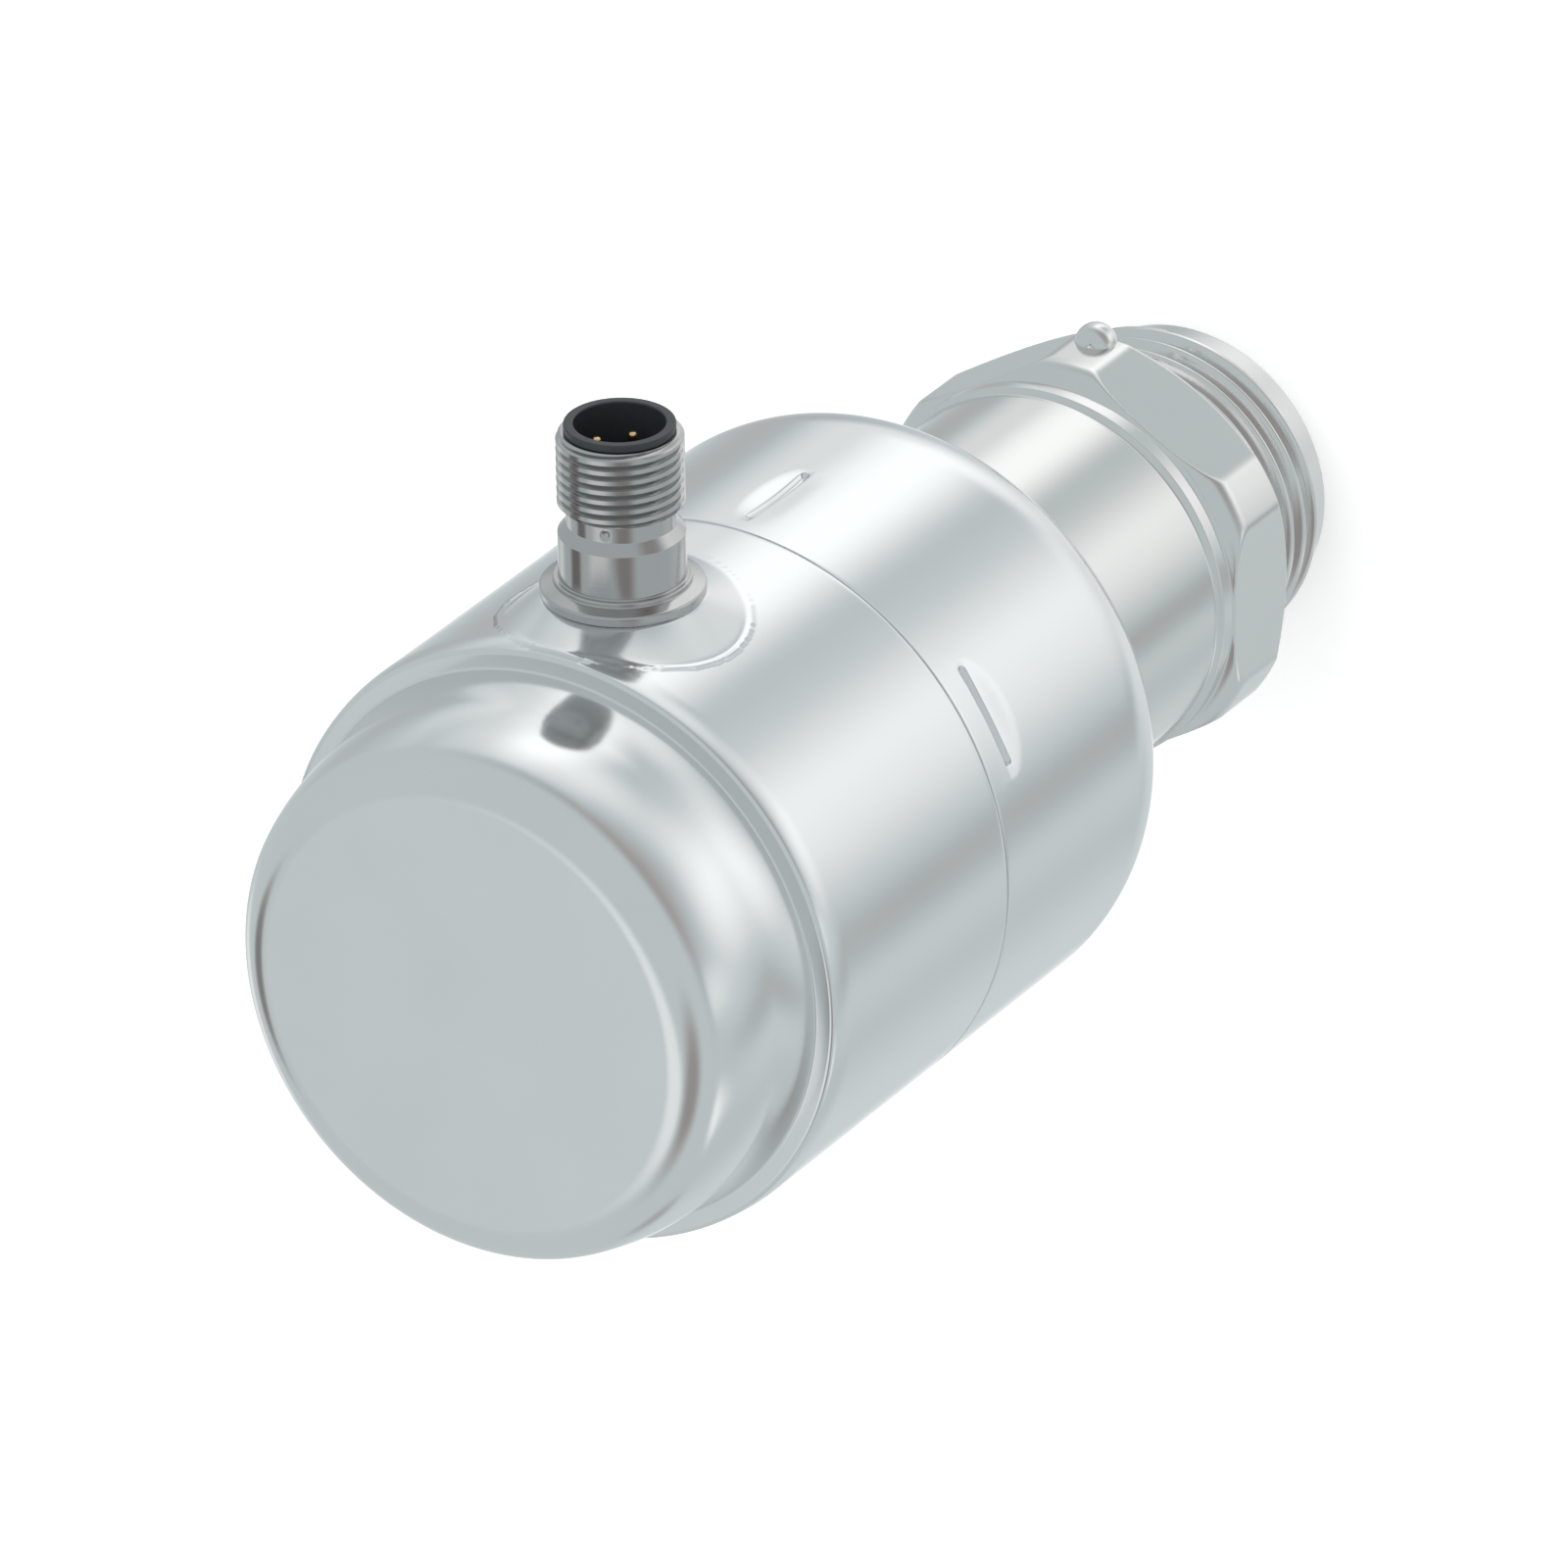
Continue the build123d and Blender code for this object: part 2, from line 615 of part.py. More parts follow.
main_board_top = main_board_bottom + main_board_thickness
with BuildPart() as board_screws:
    with BuildSketch(Plane.XY.offset(main_board_top)):
        with PolarLocations(post_circle, post_count, start_angle=post_turn):
            Circle(screw_head_radius)
    extrude(amount=screw_head_height)
    with BuildSketch(Plane.XY.offset(main_board_top)):
        with PolarLocations(post_circle, post_count, start_angle=post_turn):
            Circle(screw_shank_radius)
    extrude(amount=-screw_shank_length)
board_screws.part.label = "board_screws"
export_step(board_screws.part, "parts/board_screws.step")

with BuildPart() as cable_socket:
    with BuildSketch(Plane.XY.offset(main_board_bottom - socket_size[2])):
        Rectangle(socket_size[0], socket_size[1])
    extrude(amount=socket_size[2])
cable_socket.part.label = "cable_socket"
export_step(cable_socket.part, "parts/cable_socket.step")

with BuildPart() as processor:
    with BuildSketch(Plane.XY.offset(main_board_top)):
        with Locations(processor_place):
            Rectangle(processor_size[0], processor_size[1])
    extrude(amount=processor_size[2])
processor.part.label = "processor"
export_step(processor.part, "parts/processor.step")

with BuildPart() as capacitors:
    with BuildSketch(Plane.XY.offset(main_board_top)):
        with Locations(*capacitor_places):
            Circle(capacitor_radius)
    extrude(amount=capacitor_height)
capacitors.part.label = "capacitors"
export_step(capacitors.part, "parts/capacitors.step")

with BuildPart() as inductor:
    with BuildSketch(Plane.XY.offset(main_board_top)):
        with Locations(inductor_place):
            Rectangle(inductor_size[0], inductor_size[1])
    extrude(amount=inductor_size[2])
inductor.part.label = "inductor"
export_step(inductor.part, "parts/inductor.step")

with BuildPart() as wire_header:
    with BuildSketch(Plane.XY.offset(main_board_top)):
        with Locations((header_x, 0)):
            Rectangle(header_size[0], header_size[1])
    extrude(amount=header_size[2])
wire_header.part.label = "wire_header"
export_step(wire_header.part, "parts/wire_header.step")


# connector: turned body, contact carrier, four pins, ring, nut and wires
connector_axis = Axis((0, 0, connector_height), (1, 0, 0))


def beside(level, radius):
    """Point of the connector's section: level along X, radius from the connector axis."""
    return (level, connector_height + radius)


with BuildPart() as connector_shell:
    with BuildSketch(Plane.XZ):
        with BuildLine():
            Polyline(beside(m12_start + m12_lead, connector_bore_radius),
                     beside(m12_start + m12_lead, m12_radius - m12_lead),
                     beside(m12_start, m12_radius), beside(m12_end, m12_radius),
                     beside(waist_top, connector_waist_radius),
                     beside(waist_bottom, connector_waist_radius), beside(barrel_top, m12_radius),
                     beside(step_top, m12_radius), beside(step_top, step_radius),
                     beside(flange_top, step_radius), beside(flange_edge, flange_radius),
                     beside(flange_bottom, flange_radius), beside(flange_bottom, spigot_radius),
                     beside(connector_ring_groove_top, spigot_radius),
                     beside(connector_ring_groove_top, connector_ring_groove_radius),
                     beside(connector_ring_groove_bottom, connector_ring_groove_radius),
                     beside(connector_ring_groove_bottom, spigot_radius),
                     beside(spigot_end, spigot_radius), beside(spigot_end, tail_radius),
                     beside(tail_end, tail_radius), beside(tail_end, connector_bore_radius),
                     beside(m12_start + m12_lead, connector_bore_radius))
        make_face()
    revolve(axis=connector_axis)
    for angle in dent_angles:
        dent_reach = connector_waist_radius + dent_radius - dent_depth
        with Locations((dent_x, dent_reach * cos(radians(angle)),
                        connector_height + dent_reach * sin(radians(angle)))):
            Sphere(dent_radius, mode=Mode.SUBTRACT)
connector_shell.part.label = "connector_shell"
export_step(connector_shell.part, "parts/connector_shell.step")

with BuildPart() as connector_insert:
    with BuildSketch(Plane.XZ):
        with BuildLine():
            Polyline(beside(insert_bottom, 0), beside(insert_bottom, insert_tube_radius),
                     beside(insert_top - insert_rim_depth, insert_tube_radius),
                     beside(insert_top - insert_rim_depth, insert_rim_radius),
                     beside(insert_top, insert_rim_radius), beside(insert_top, insert_bore_radius),
                     beside(insert_floor, insert_bore_radius), beside(insert_floor, 0),
                     beside(insert_bottom, 0))
        make_face()
    revolve(axis=connector_axis)
    with BuildSketch(Plane.YZ.offset(insert_bottom)):
        with Locations((0, connector_height)):
            with PolarLocations(pin_circle, 4, start_angle=pin_turn):
                Circle(pin_radius + pin_fit)
    extrude(amount=insert_floor - insert_bottom, mode=Mode.SUBTRACT)
connector_insert.part.label = "connector_insert"
export_step(connector_insert.part, "parts/connector_insert.step")

with BuildPart() as contact_pins:
    with BuildSketch(Plane.YZ.offset(pin_tail)):
        with Locations((0, connector_height)):
            with PolarLocations(pin_circle, 4, start_angle=pin_turn):
                Circle(pin_radius)
    extrude(amount=pin_tip - pin_tail)
    tips = contact_pins.faces().group_by(Axis.X)[-1]
    chamfer(tips.edges(), pin_radius / 2)
contact_pins.part.label = "contact_pins"
export_step(contact_pins.part, "parts/contact_pins.step")

with BuildPart() as connector_oring:
    with BuildSketch(Plane.XZ):
        with Locations(beside((connector_ring_groove_top + connector_ring_groove_bottom) / 2,
                              (connector_ring_groove_radius + spigot_radius + running) / 2)):
            RectangleRounded(connector_ring_width, spigot_radius - connector_ring_groove_radius - running,
                             connector_ring_corner)
    revolve(axis=connector_axis)
connector_oring.part.label = "connector_oring"
export_step(connector_oring.part, "parts/connector_oring.step")

with BuildPart() as connector_nut:
    with BuildSketch(Plane.YZ.offset(seat_inner_level - nut_thickness)):
        with Locations((0, connector_height)):
            RegularPolygon(nut_across_flats / 2, 6, major_radius=False)
            Circle(tail_radius + running, mode=Mode.SUBTRACT)
    extrude(amount=nut_thickness)
connector_nut.part.label = "connector_nut"
export_step(connector_nut.part, "parts/connector_nut.step")

header_top = main_board_top + header_size[2]
with BuildPart() as connector_wires:
    for index in range(4):
        angle = radians(pin_turn + 90 * index)
        side = pin_circle * cos(angle)
        height = connector_height + pin_circle * sin(angle)
        drop_x = header_x + (-wire_spread if index == 1 else wire_spread if index == 3 else 0)
        with BuildLine() as run:
            FilletPolyline((pin_tail, side, height), (drop_x, side, height), (drop_x, side, header_top),
                           radius=wire_bend)
        with BuildSketch(Plane.YZ.offset(pin_tail)):
            with Locations((side, height)):
                Circle(wire_radius)
        sweep(path=run.line)
connector_wires.part.label = "connector_wires"
export_step(connector_wires.part, "parts/connector_wires.step")
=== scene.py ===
"""Looks of the pressure sensor: its visible surfaces, threads, materials, floor and light."""

import json

import bmesh
import bpy
import numpy as np
from mathutils import Matrix


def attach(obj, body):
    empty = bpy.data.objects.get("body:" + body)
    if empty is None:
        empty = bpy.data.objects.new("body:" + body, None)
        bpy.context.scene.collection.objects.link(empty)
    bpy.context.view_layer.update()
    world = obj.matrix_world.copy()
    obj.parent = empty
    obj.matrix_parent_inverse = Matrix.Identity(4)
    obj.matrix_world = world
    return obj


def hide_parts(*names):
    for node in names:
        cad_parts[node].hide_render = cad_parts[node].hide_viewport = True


bl_info = {
    "name": "Pressure sensor looks",
    "version": (1, 0, 0),
    "blender": (4, 5, 0),
    "location": "3D View > Sidebar > Sensor",
    "description": "Builds the visible surfaces of a round pressure sensor around its solids",
    "category": "Object",
}

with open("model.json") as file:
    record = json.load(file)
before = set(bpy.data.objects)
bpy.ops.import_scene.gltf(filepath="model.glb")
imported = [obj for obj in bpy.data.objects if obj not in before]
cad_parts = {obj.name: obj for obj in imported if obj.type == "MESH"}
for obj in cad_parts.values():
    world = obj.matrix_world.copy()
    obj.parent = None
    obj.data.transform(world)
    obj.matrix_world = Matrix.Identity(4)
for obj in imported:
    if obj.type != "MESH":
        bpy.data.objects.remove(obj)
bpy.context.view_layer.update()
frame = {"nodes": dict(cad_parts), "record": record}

MM = 0.001
FULL_TURN = 2 * np.pi
FIXED_BODY = "process_side"
TURNING_BODY = "housing"

# points in the same hundred-thousandth of a millimetre are one point
MERGE_STEPS = 1e5

# sizes that several pieces use, in mm
PLUG_HEIGHT = 104.14
SEAM = 85.8


# Meshes from arrays

def mesh_object(name, points, quads):
    """Mesh of an (n, 3) array of points in mm and an (m, 4) array of corners.

    Points that coincide are merged, so seams, poles and collapsed rows close without stray faces.
    """
    used = np.round(points * MERGE_STEPS).astype(np.int64)
    _, first, place = np.unique(used, axis=0, return_index=True, return_inverse=True)
    place = place.reshape(-1)
    corners = place[quads]
    same = corners == np.roll(corners, -1, axis=1)
    whole = corners[~same.any(axis=1)]
    # a quad with a diagonal pair in one place has no area, and is dropped with the other slivers
    crossed = (whole[:, 0] == whole[:, 2]) | (whole[:, 1] == whole[:, 3])
    whole = whole[~crossed]
    three = corners[same.sum(axis=1) == 1]
    at = np.argmax(three == np.roll(three, -1, axis=1), axis=1)
    keep = (at[:, None] + np.array([1, 2, 3])[None]) % 4
    triangles = np.take_along_axis(three, keep, axis=1)
    slim = (triangles[:, 0] == triangles[:, 1]) | (triangles[:, 1] == triangles[:, 2])
    slim |= triangles[:, 0] == triangles[:, 2]
    triangles = triangles[~slim]
    faces = whole.tolist() + triangles.tolist()
    mesh = bpy.data.meshes.new(name)
    mesh.from_pydata((points[first] * MM).tolist(), [], faces)
    mesh.validate()
    mesh.shade_smooth()
    mesh.update()
    thing = bpy.data.objects.new(name, mesh)
    bpy.context.scene.collection.objects.link(thing)
    return thing


def loop_quads(rows, columns, shift=None, wrap=True):
    """Corners of the quads of a grid whose columns close round the axis.

    shift gives, for each row, the row it meets beyond the last column, as a helix needs.
    """
    row = np.arange(rows if wrap else rows - 1)
    above = (row + 1) % rows
    column = np.arange(columns)
    right = (column + 1) % columns
    a = row[:, None] * columns + column[None]
    b = above[:, None] * columns + column[None]
    c = above[:, None] * columns + right[None]
    d = row[:, None] * columns + right[None]
    if shift is not None:
        d[:, -1] = shift[row] * columns
        c[:, -1] = shift[above] * columns
    return np.stack([a, d, c, b], axis=-1).reshape(-1, 4)


def about_z(radius, level, angle):
    """Points at a radius, level and angle from the sensor's axis, X forward of Y."""
    return np.stack([radius * np.cos(angle), radius * np.sin(angle), level], axis=-1).reshape(-1, 3)


def about_plug(radius, level, angle):
    """Points at a radius and angle round the connector's axis, level along X."""
    return np.stack([level, radius * np.cos(angle), PLUG_HEIGHT + radius * np.sin(angle)],
                    axis=-1).reshape(-1, 3)


def turns(columns):
    """Angles of evenly spaced columns round an axis."""
    return np.arange(columns) / columns * FULL_TURN


def rings(section, columns):
    """Radius and level of a grid in which each (radius, level) of a section becomes one ring."""
    section = np.asarray(section, float)
    return np.repeat(section[:, :1], columns, axis=1), np.repeat(section[:, 1:], columns, axis=1)


def arc(centre, radius, start, end, count):
    """Points of an arc in a section plane, angles in degrees from the outward direction."""
    turn = np.radians(np.linspace(start, end, count))
    return np.stack([centre[0] + radius * np.cos(turn), centre[1] + radius * np.sin(turn)], axis=-1)


def softened(table, steps=5, support=1.6):
    """Closed section with each corner rounded: an arc between two points set back from the corner.

    The table has radius, level and rounding of each corner. A support point on each side of an
    arc keeps the shading of the flats flat.
    """
    table = np.asarray(table, float)
    corners, sizes = table[:, :2], table[:, 2]
    out = []
    for before, corner, after, size in zip(np.roll(corners, 1, axis=0), corners,
                                           np.roll(corners, -1, axis=0), sizes):
        one = before - corner
        two = after - corner
        length_one, length_two = np.hypot(*one), np.hypot(*two)
        one, two = one / length_one, two / length_two
        half = np.arccos(np.clip(one @ two, -1, 1)) / 2
        back = size / max(np.tan(half), 1e-6)
        back = min(back, 0.45 * length_one, 0.45 * length_two)
        size = back * np.tan(half)
        if size < 1e-4 or half > 1.55:
            out.append(corner[None])
            continue
        middle = (one + two) / np.hypot(*(one + two)) * size / np.sin(half) + corner
        start = corner + one * back - middle
        end = corner + two * back - middle
        a0 = np.arctan2(start[1], start[0])
        a1 = np.arctan2(end[1], end[0])
        a1 = a0 + (a1 - a0 + np.pi) % FULL_TURN - np.pi
        turn = np.linspace(a0, a1, steps + 1)
        curve = middle + size * np.stack([np.cos(turn), np.sin(turn)], axis=-1)
        lead = corner + one * min(back * support, 0.48 * length_one)
        tail = corner + two * min(back * support, 0.48 * length_two)
        out += [lead[None], curve, tail[None]]
    return np.concatenate(out)


def lathe(name, section, columns, place):
    """Closed section (radius, level) carried round an axis: every point becomes one ring."""
    radius, level = rings(section, columns)
    points = place(radius, level, np.broadcast_to(turns(columns), radius.shape))
    return mesh_object(name, points, loop_quads(len(section), columns))


def smooth_step(value):
    """0 below 0, 1 above 1 and a soft S between."""
    value = np.clip(value, 0, 1)
    return value * value * (3 - 2 * value)


def soft_min(one, two, width):
    """Smaller of two arrays, with the corner between them rounded over a width."""
    mix = np.clip(0.5 + 0.5 * (two - one) / width, 0, 1)
    return two + (one - two) * mix - width * mix * (1 - mix)


def finish_piece(piece, body, nodes, material):
    """Gives a new piece its material, body and replaced nodes."""
    piece.data.materials.clear()
    piece.data.materials.append(material)
    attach(piece, body)
    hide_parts(*nodes)
    return piece


def face_outwards(thing):
    """Turns every face of a closed mesh to point away from its inside."""
    work = bmesh.new()
    work.from_mesh(thing.data)
    bmesh.ops.recalc_face_normals(work, faces=work.faces)
    work.to_mesh(thing.data)
    work.free()


def millimetres(length):
    """A property's length in mm, without the last digits that single precision adds."""
    return round(length / MM, 4)


# Materials

def new_group(name, inputs, outputs):
    """Shader node group with float or vector sockets named by the caller."""
    group = bpy.data.node_groups.new(name, "ShaderNodeTree")
    for label, kind, value in inputs:
        socket = group.interface.new_socket(name=label, in_out="INPUT", socket_type=kind)
        if value is not None:
            socket.default_value = value
    for label, kind in outputs:
        group.interface.new_socket(name=label, in_out="OUTPUT", socket_type=kind)
    return group


def add_node(tree, kind, **values):
    """Node with its plain settings given by name, and its inputs by a dictionary, inputs."""
    node = tree.nodes.new(kind)
    inputs = values.pop("inputs", {})
    for key, value in values.items():
        setattr(node, key, value)
    for key, value in inputs.items():
        node.inputs[key].default_value = value
    return node


def metal_grain_group():
    """Rings left by a tool or mop: noise along an axis that drifts softly, with stains over it."""
    tree = bpy.data.node_groups.get("metal grain")
    if tree:
        return tree
    tree = new_group("metal grain",
                     [("Vector", "NodeSocketVector", None),
                      ("Ring Scale", "NodeSocketFloat", 9000.0),
                      ("Ring Depth", "NodeSocketFloat", 0.15),
                      ("Stain Scale", "NodeSocketFloat", 60.0)],
                     [("Height", "NodeSocketFloat"), ("Stain", "NodeSocketFloat")])
    enter = add_node(tree, "NodeGroupInput")
    leave = add_node(tree, "NodeGroupOutput")
    split = add_node(tree, "ShaderNodeSeparateXYZ")
    tree.links.new(enter.outputs["Vector"], split.inputs[0])
    scale = add_node(tree, "ShaderNodeMath", operation="MULTIPLY")
    tree.links.new(split.outputs["Z"], scale.inputs[0])
    tree.links.new(enter.outputs["Ring Scale"], scale.inputs[1])
    drift = add_node(tree, "ShaderNodeVectorMath", operation="SCALE", inputs={"Scale": 25.0})
    tree.links.new(enter.outputs["Vector"], drift.inputs[0])
    wander = add_node(tree, "ShaderNodeTexNoise", noise_dimensions="3D",
                      inputs={"Scale": 3.0, "Detail": 2.0})
    tree.links.new(drift.outputs[0], wander.inputs["Vector"])
    shifted = add_node(tree, "ShaderNodeMath", operation="MULTIPLY_ADD", inputs={1: 1.5})
    tree.links.new(wander.outputs["Fac"], shifted.inputs[0])
    tree.links.new(scale.outputs[0], shifted.inputs[2])
    rings = add_node(tree, "ShaderNodeTexNoise", noise_dimensions="1D",
                     inputs={"Scale": 1.0, "Detail": 4.0, "Roughness": 0.6})
    tree.links.new(shifted.outputs[0], rings.inputs["W"])
    depth = add_node(tree, "ShaderNodeMath", operation="MULTIPLY")
    tree.links.new(rings.outputs["Fac"], depth.inputs[0])
    tree.links.new(enter.outputs["Ring Depth"], depth.inputs[1])
    tree.links.new(depth.outputs[0], leave.inputs["Height"])
    stain = add_node(tree, "ShaderNodeTexNoise", inputs={"Detail": 5.0, "Roughness": 0.55})
    tree.links.new(enter.outputs["Vector"], stain.inputs["Vector"])
    tree.links.new(enter.outputs["Stain Scale"], stain.inputs["Scale"])
    tree.links.new(stain.outputs["Fac"], leave.inputs["Stain"])
    return tree


def new_material(name, metallic):
    """Material with a Principled shader, with its tree of nodes and that shader."""
    material = bpy.data.materials.new(name)
    material.use_nodes = True
    shader = material.node_tree.nodes["Principled BSDF"]
    shader.inputs["Metallic"].default_value = metallic
    return material, material.node_tree, shader


def vary(tree, shader, mask, colour, shades, roughness, spread):
    """Lets colour and roughness follow a mask: from one shade of the colour to the other."""
    tone = add_node(tree, "ShaderNodeMixRGB", blend_type="MIX")
    for socket, shade in zip((1, 2), shades):
        tone.inputs[socket].default_value = (*[min(1, c * shade) for c in colour], 1)
    tree.links.new(mask, tone.inputs[0])
    tree.links.new(tone.outputs[0], shader.inputs["Base Color"])
    rough = add_node(tree, "ShaderNodeMapRange",
                     inputs={"From Min": 0.3, "From Max": 0.7, "To Min": roughness - spread,
                             "To Max": roughness + spread})
    tree.links.new(mask, rough.inputs["Value"])
    tree.links.new(rough.outputs[0], shader.inputs["Roughness"])


# how much darker and lighter than its colour a finish gets, and how far roughness strays
METAL_SHADES = (0.975, 1.02)
PLASTIC_SHADES = (0.88, 1.1)
PLASTIC_SPREAD = 0.06
# the connector's steel is duller than that of the process end
PLUG_SHADE = 0.68


def metal_material(name, colour, roughness, ring_scale, ring_depth, spread=0.05, about_x=False):
    """Bare steel: a metal's colour that drifts a little, tool rings as bump, stained roughness."""
    material, tree, shader = new_material(name, 1.0)
    where = add_node(tree, "ShaderNodeTexCoord")
    turn = add_node(tree, "ShaderNodeMapping")
    if about_x:
        turn.inputs["Rotation"].default_value = (0, -np.pi / 2, 0)
    tree.links.new(where.outputs["Object"], turn.inputs["Vector"])
    grain = add_node(tree, "ShaderNodeGroup", node_tree=metal_grain_group())
    grain.inputs["Ring Scale"].default_value = ring_scale
    grain.inputs["Ring Depth"].default_value = ring_depth
    tree.links.new(turn.outputs[0], grain.inputs["Vector"])
    bump = add_node(tree, "ShaderNodeBump", inputs={"Strength": 0.35, "Distance": 0.00002})
    tree.links.new(grain.outputs["Height"], bump.inputs["Height"])
    tree.links.new(bump.outputs[0], shader.inputs["Normal"])
    vary(tree, shader, grain.outputs["Stain"], colour, METAL_SHADES, roughness, spread)
    return material


def plain_surface_material(name, colour, roughness, grain_scale, grain_height):
    """Moulded or cast surface: two near tones in a fine noise, with the same noise as bump."""
    material, tree, shader = new_material(name, 0.0)
    where = add_node(tree, "ShaderNodeTexCoord")
    noise = add_node(tree, "ShaderNodeTexNoise",
                     inputs={"Scale": grain_scale, "Detail": 6.0, "Roughness": 0.6})
    tree.links.new(where.outputs["Object"], noise.inputs["Vector"])
    vary(tree, shader, noise.outputs["Fac"], colour, PLASTIC_SHADES, roughness, PLASTIC_SPREAD)
    bump = add_node(tree, "ShaderNodeBump", inputs={"Strength": 0.5, "Distance": grain_height})
    tree.links.new(noise.outputs["Fac"], bump.inputs["Height"])
    tree.links.new(bump.outputs[0], shader.inputs["Normal"])
    return material


def finishes():
    """All materials of the sensor by the name of their finish, made once."""
    if "drawn steel" in bpy.data.materials:
        return {m.name: m for m in bpy.data.materials}
    looks = bpy.context.scene.sensor_finish
    turned = tuple(looks.turned_colour)
    plug = tuple(c * PLUG_SHADE for c in turned)
    metal_material("drawn steel", tuple(looks.shell_colour), looks.shell_roughness, 6000.0, 0.12,
                   spread=0.03)
    metal_material("turned steel", turned, looks.turned_roughness, 14000.0, 0.4, spread=0.03)
    metal_material("connector steel", plug, looks.turned_roughness, 14000.0, 0.3, spread=0.03,
                   about_x=True)
    metal_material("ball steel", turned, 0.08, 3000.0, 0.02, spread=0.02)
    metal_material("gold contact", (0.90, 0.62, 0.34), 0.22, 9000.0, 0.3, spread=0.05,
                   about_x=True)
    plain_surface_material("black insert", tuple(looks.insert_colour), 0.42, 2500.0, 0.00003)
    plain_surface_material("seal rubber", (0.03, 0.03, 0.033), 0.55, 3000.0, 0.00004)
    plain_surface_material("slide plastic", (0.72, 0.68, 0.58), 0.45, 1800.0, 0.00003)
    plain_surface_material("ceramic", (0.86, 0.84, 0.78), 0.3, 4000.0, 0.00001)
    plain_surface_material("circuit board", (0.03, 0.2, 0.09), 0.3, 900.0, 0.00002)
    plain_surface_material("cable sheath", (0.12, 0.125, 0.13), 0.5, 1500.0, 0.00003)
    return {m.name: m for m in bpy.data.materials}


SLOT_FINISH = {
    "drawn_steel": "drawn steel", "turned_steel": "turned steel", "ceramic": "ceramic",
    "seal_rubber": "seal rubber", "slide_plastic": "slide plastic", "black_plastic": "black insert",
    "circuit_board": "circuit board", "gold_contact": "gold contact",
    "cable_sheath": "cable sheath",
}


# Properties

class SensorSizes(bpy.types.PropertyGroup):
    """Sizes of the visible surfaces that a user may change."""

    body_radius: bpy.props.FloatProperty(
        name="Body radius", description="Outer radius of the housing shells", default=0.0303,
        unit="LENGTH", precision=4)
    wall: bpy.props.FloatProperty(
        name="Wall", description="Thickness of the drawn shells", default=0.001, unit="LENGTH",
        precision=4)
    seat_foot: bpy.props.FloatProperty(
        name="Seat foot", description="Radius at which the connector's seat meets the shell",
        default=0.0114, unit="LENGTH", precision=4)
    slot_depth: bpy.props.FloatProperty(
        name="Slot depth", description="Depth of the two pressed slots", default=0.00045,
        unit="LENGTH", precision=5)


class SensorFinish(bpy.types.PropertyGroup):
    """Colours and roughness of the sensor's surfaces."""

    shell_colour: bpy.props.FloatVectorProperty(
        name="Shell colour", description="Colour of the drawn steel shells", subtype="COLOR",
        default=(0.80, 0.81, 0.815), min=0, max=1)
    turned_colour: bpy.props.FloatVectorProperty(
        name="Turned colour", description="Colour of the turned steel parts", subtype="COLOR",
        default=(0.76, 0.76, 0.755), min=0, max=1)
    insert_colour: bpy.props.FloatVectorProperty(
        name="Insert colour", description="Colour of the contact carrier", subtype="COLOR",
        default=(0.022, 0.026, 0.030), min=0, max=1)
    shell_roughness: bpy.props.FloatProperty(
        name="Shell roughness", description="Roughness of the drawn steel", default=0.14, min=0,
        max=1, subtype="FACTOR")
    turned_roughness: bpy.props.FloatProperty(
        name="Turned roughness", description="Roughness of the turned steel", default=0.11, min=0,
        max=1, subtype="FACTOR")


# Process connection, in mm

THREAD_MAJOR = 16.62
THREAD_MINOR = 15.145
THREAD_PITCH = 2.309
THREAD_START = 4.1
THREAD_END = 12.6
THREAD_CREST = 4.14 + THREAD_PITCH * 62 / 360
# share of the pitch that the flat of the crest and that of the root take
THREAD_FLATS = (0.12, 0.08)
# lengths over which the thread grows out of the end land and fades at the relief
THREAD_FADES = (0.6, 0.8)
THREAD_ROWS = 14
PROCESS_COLUMNS = 504
HEX_FRONT = 15.1
HEX_HALF = 19.65
HEX_TURN = np.radians(-1.0)
HEX_EDGE = 0.22
# radius of the six round lands, width of the chamfer in front of them, and the levels they span
HEX_LAND = 21.3
HEX_CHAMFER = 1.7
HEX_LAND_LEVELS = (17.0, 22.6)
# middle and radius of the round chamfer behind them, and its last angle
HEX_REAR = (18.6, 22.7, 2.7, 68)

# radius, level and rounding of each corner
END_LAND = ((9.6, 1.5, 0.1), (9.6, 0.0, 0.15), (15.2, 0.0, 0.3), (16.0, 3.5, 0.6),
            (16.0, 3.7, 0.2), (15.2, 5.0, 0.0))
RUN_OUT = ((16.62, 12.6), (16.45, 12.65), (15.25, 12.93), (15.1, 13.0), (15.1, 13.2))
RELIEF = ((15.1, 12.9, 0.0), (15.1, HEX_FRONT, 0.3), (19.5, HEX_FRONT, 0.0), (21.0, 17.0, 0.0))
COLLAR_AND_NECK = ((19.3, 25.4, 0.08), (19.3, 25.65, 0.05), (19.65, 25.65, 0.12),
                   (19.65, 27.2, 0.2), (19.1, 27.75, 0.5), (19.1, 58.5, 0.2), (17.2, 58.5, 0.0))
BORE = ((19.1, 58.5, 0.0), (17.2, 58.5, 0.1), (17.2, 67.0, 0.2), (13.05, 67.0, 0.2),
        (13.05, 8.6, 0.1), (11.55, 8.6, 0.05), (11.55, 1.5, 0.0))
BALL_RADIUS = 2.1
BALL_PLACE = (21.0, 0.0, 17.9)


def ridge(phase, crest, root):
    """Thread profile: 1 on the crest (phase 0) and 0 in the root (phase one half).

    The flank between them is 0.7 of a straight line and 0.3 of a soft S.
    """
    away = np.abs((phase + 0.5) % 1.0 - 0.5) * 2
    flank = np.clip((away - crest) / (1 - crest - root), 0, 1)
    return 1 - 0.7 * flank - 0.3 * smooth_step(flank)


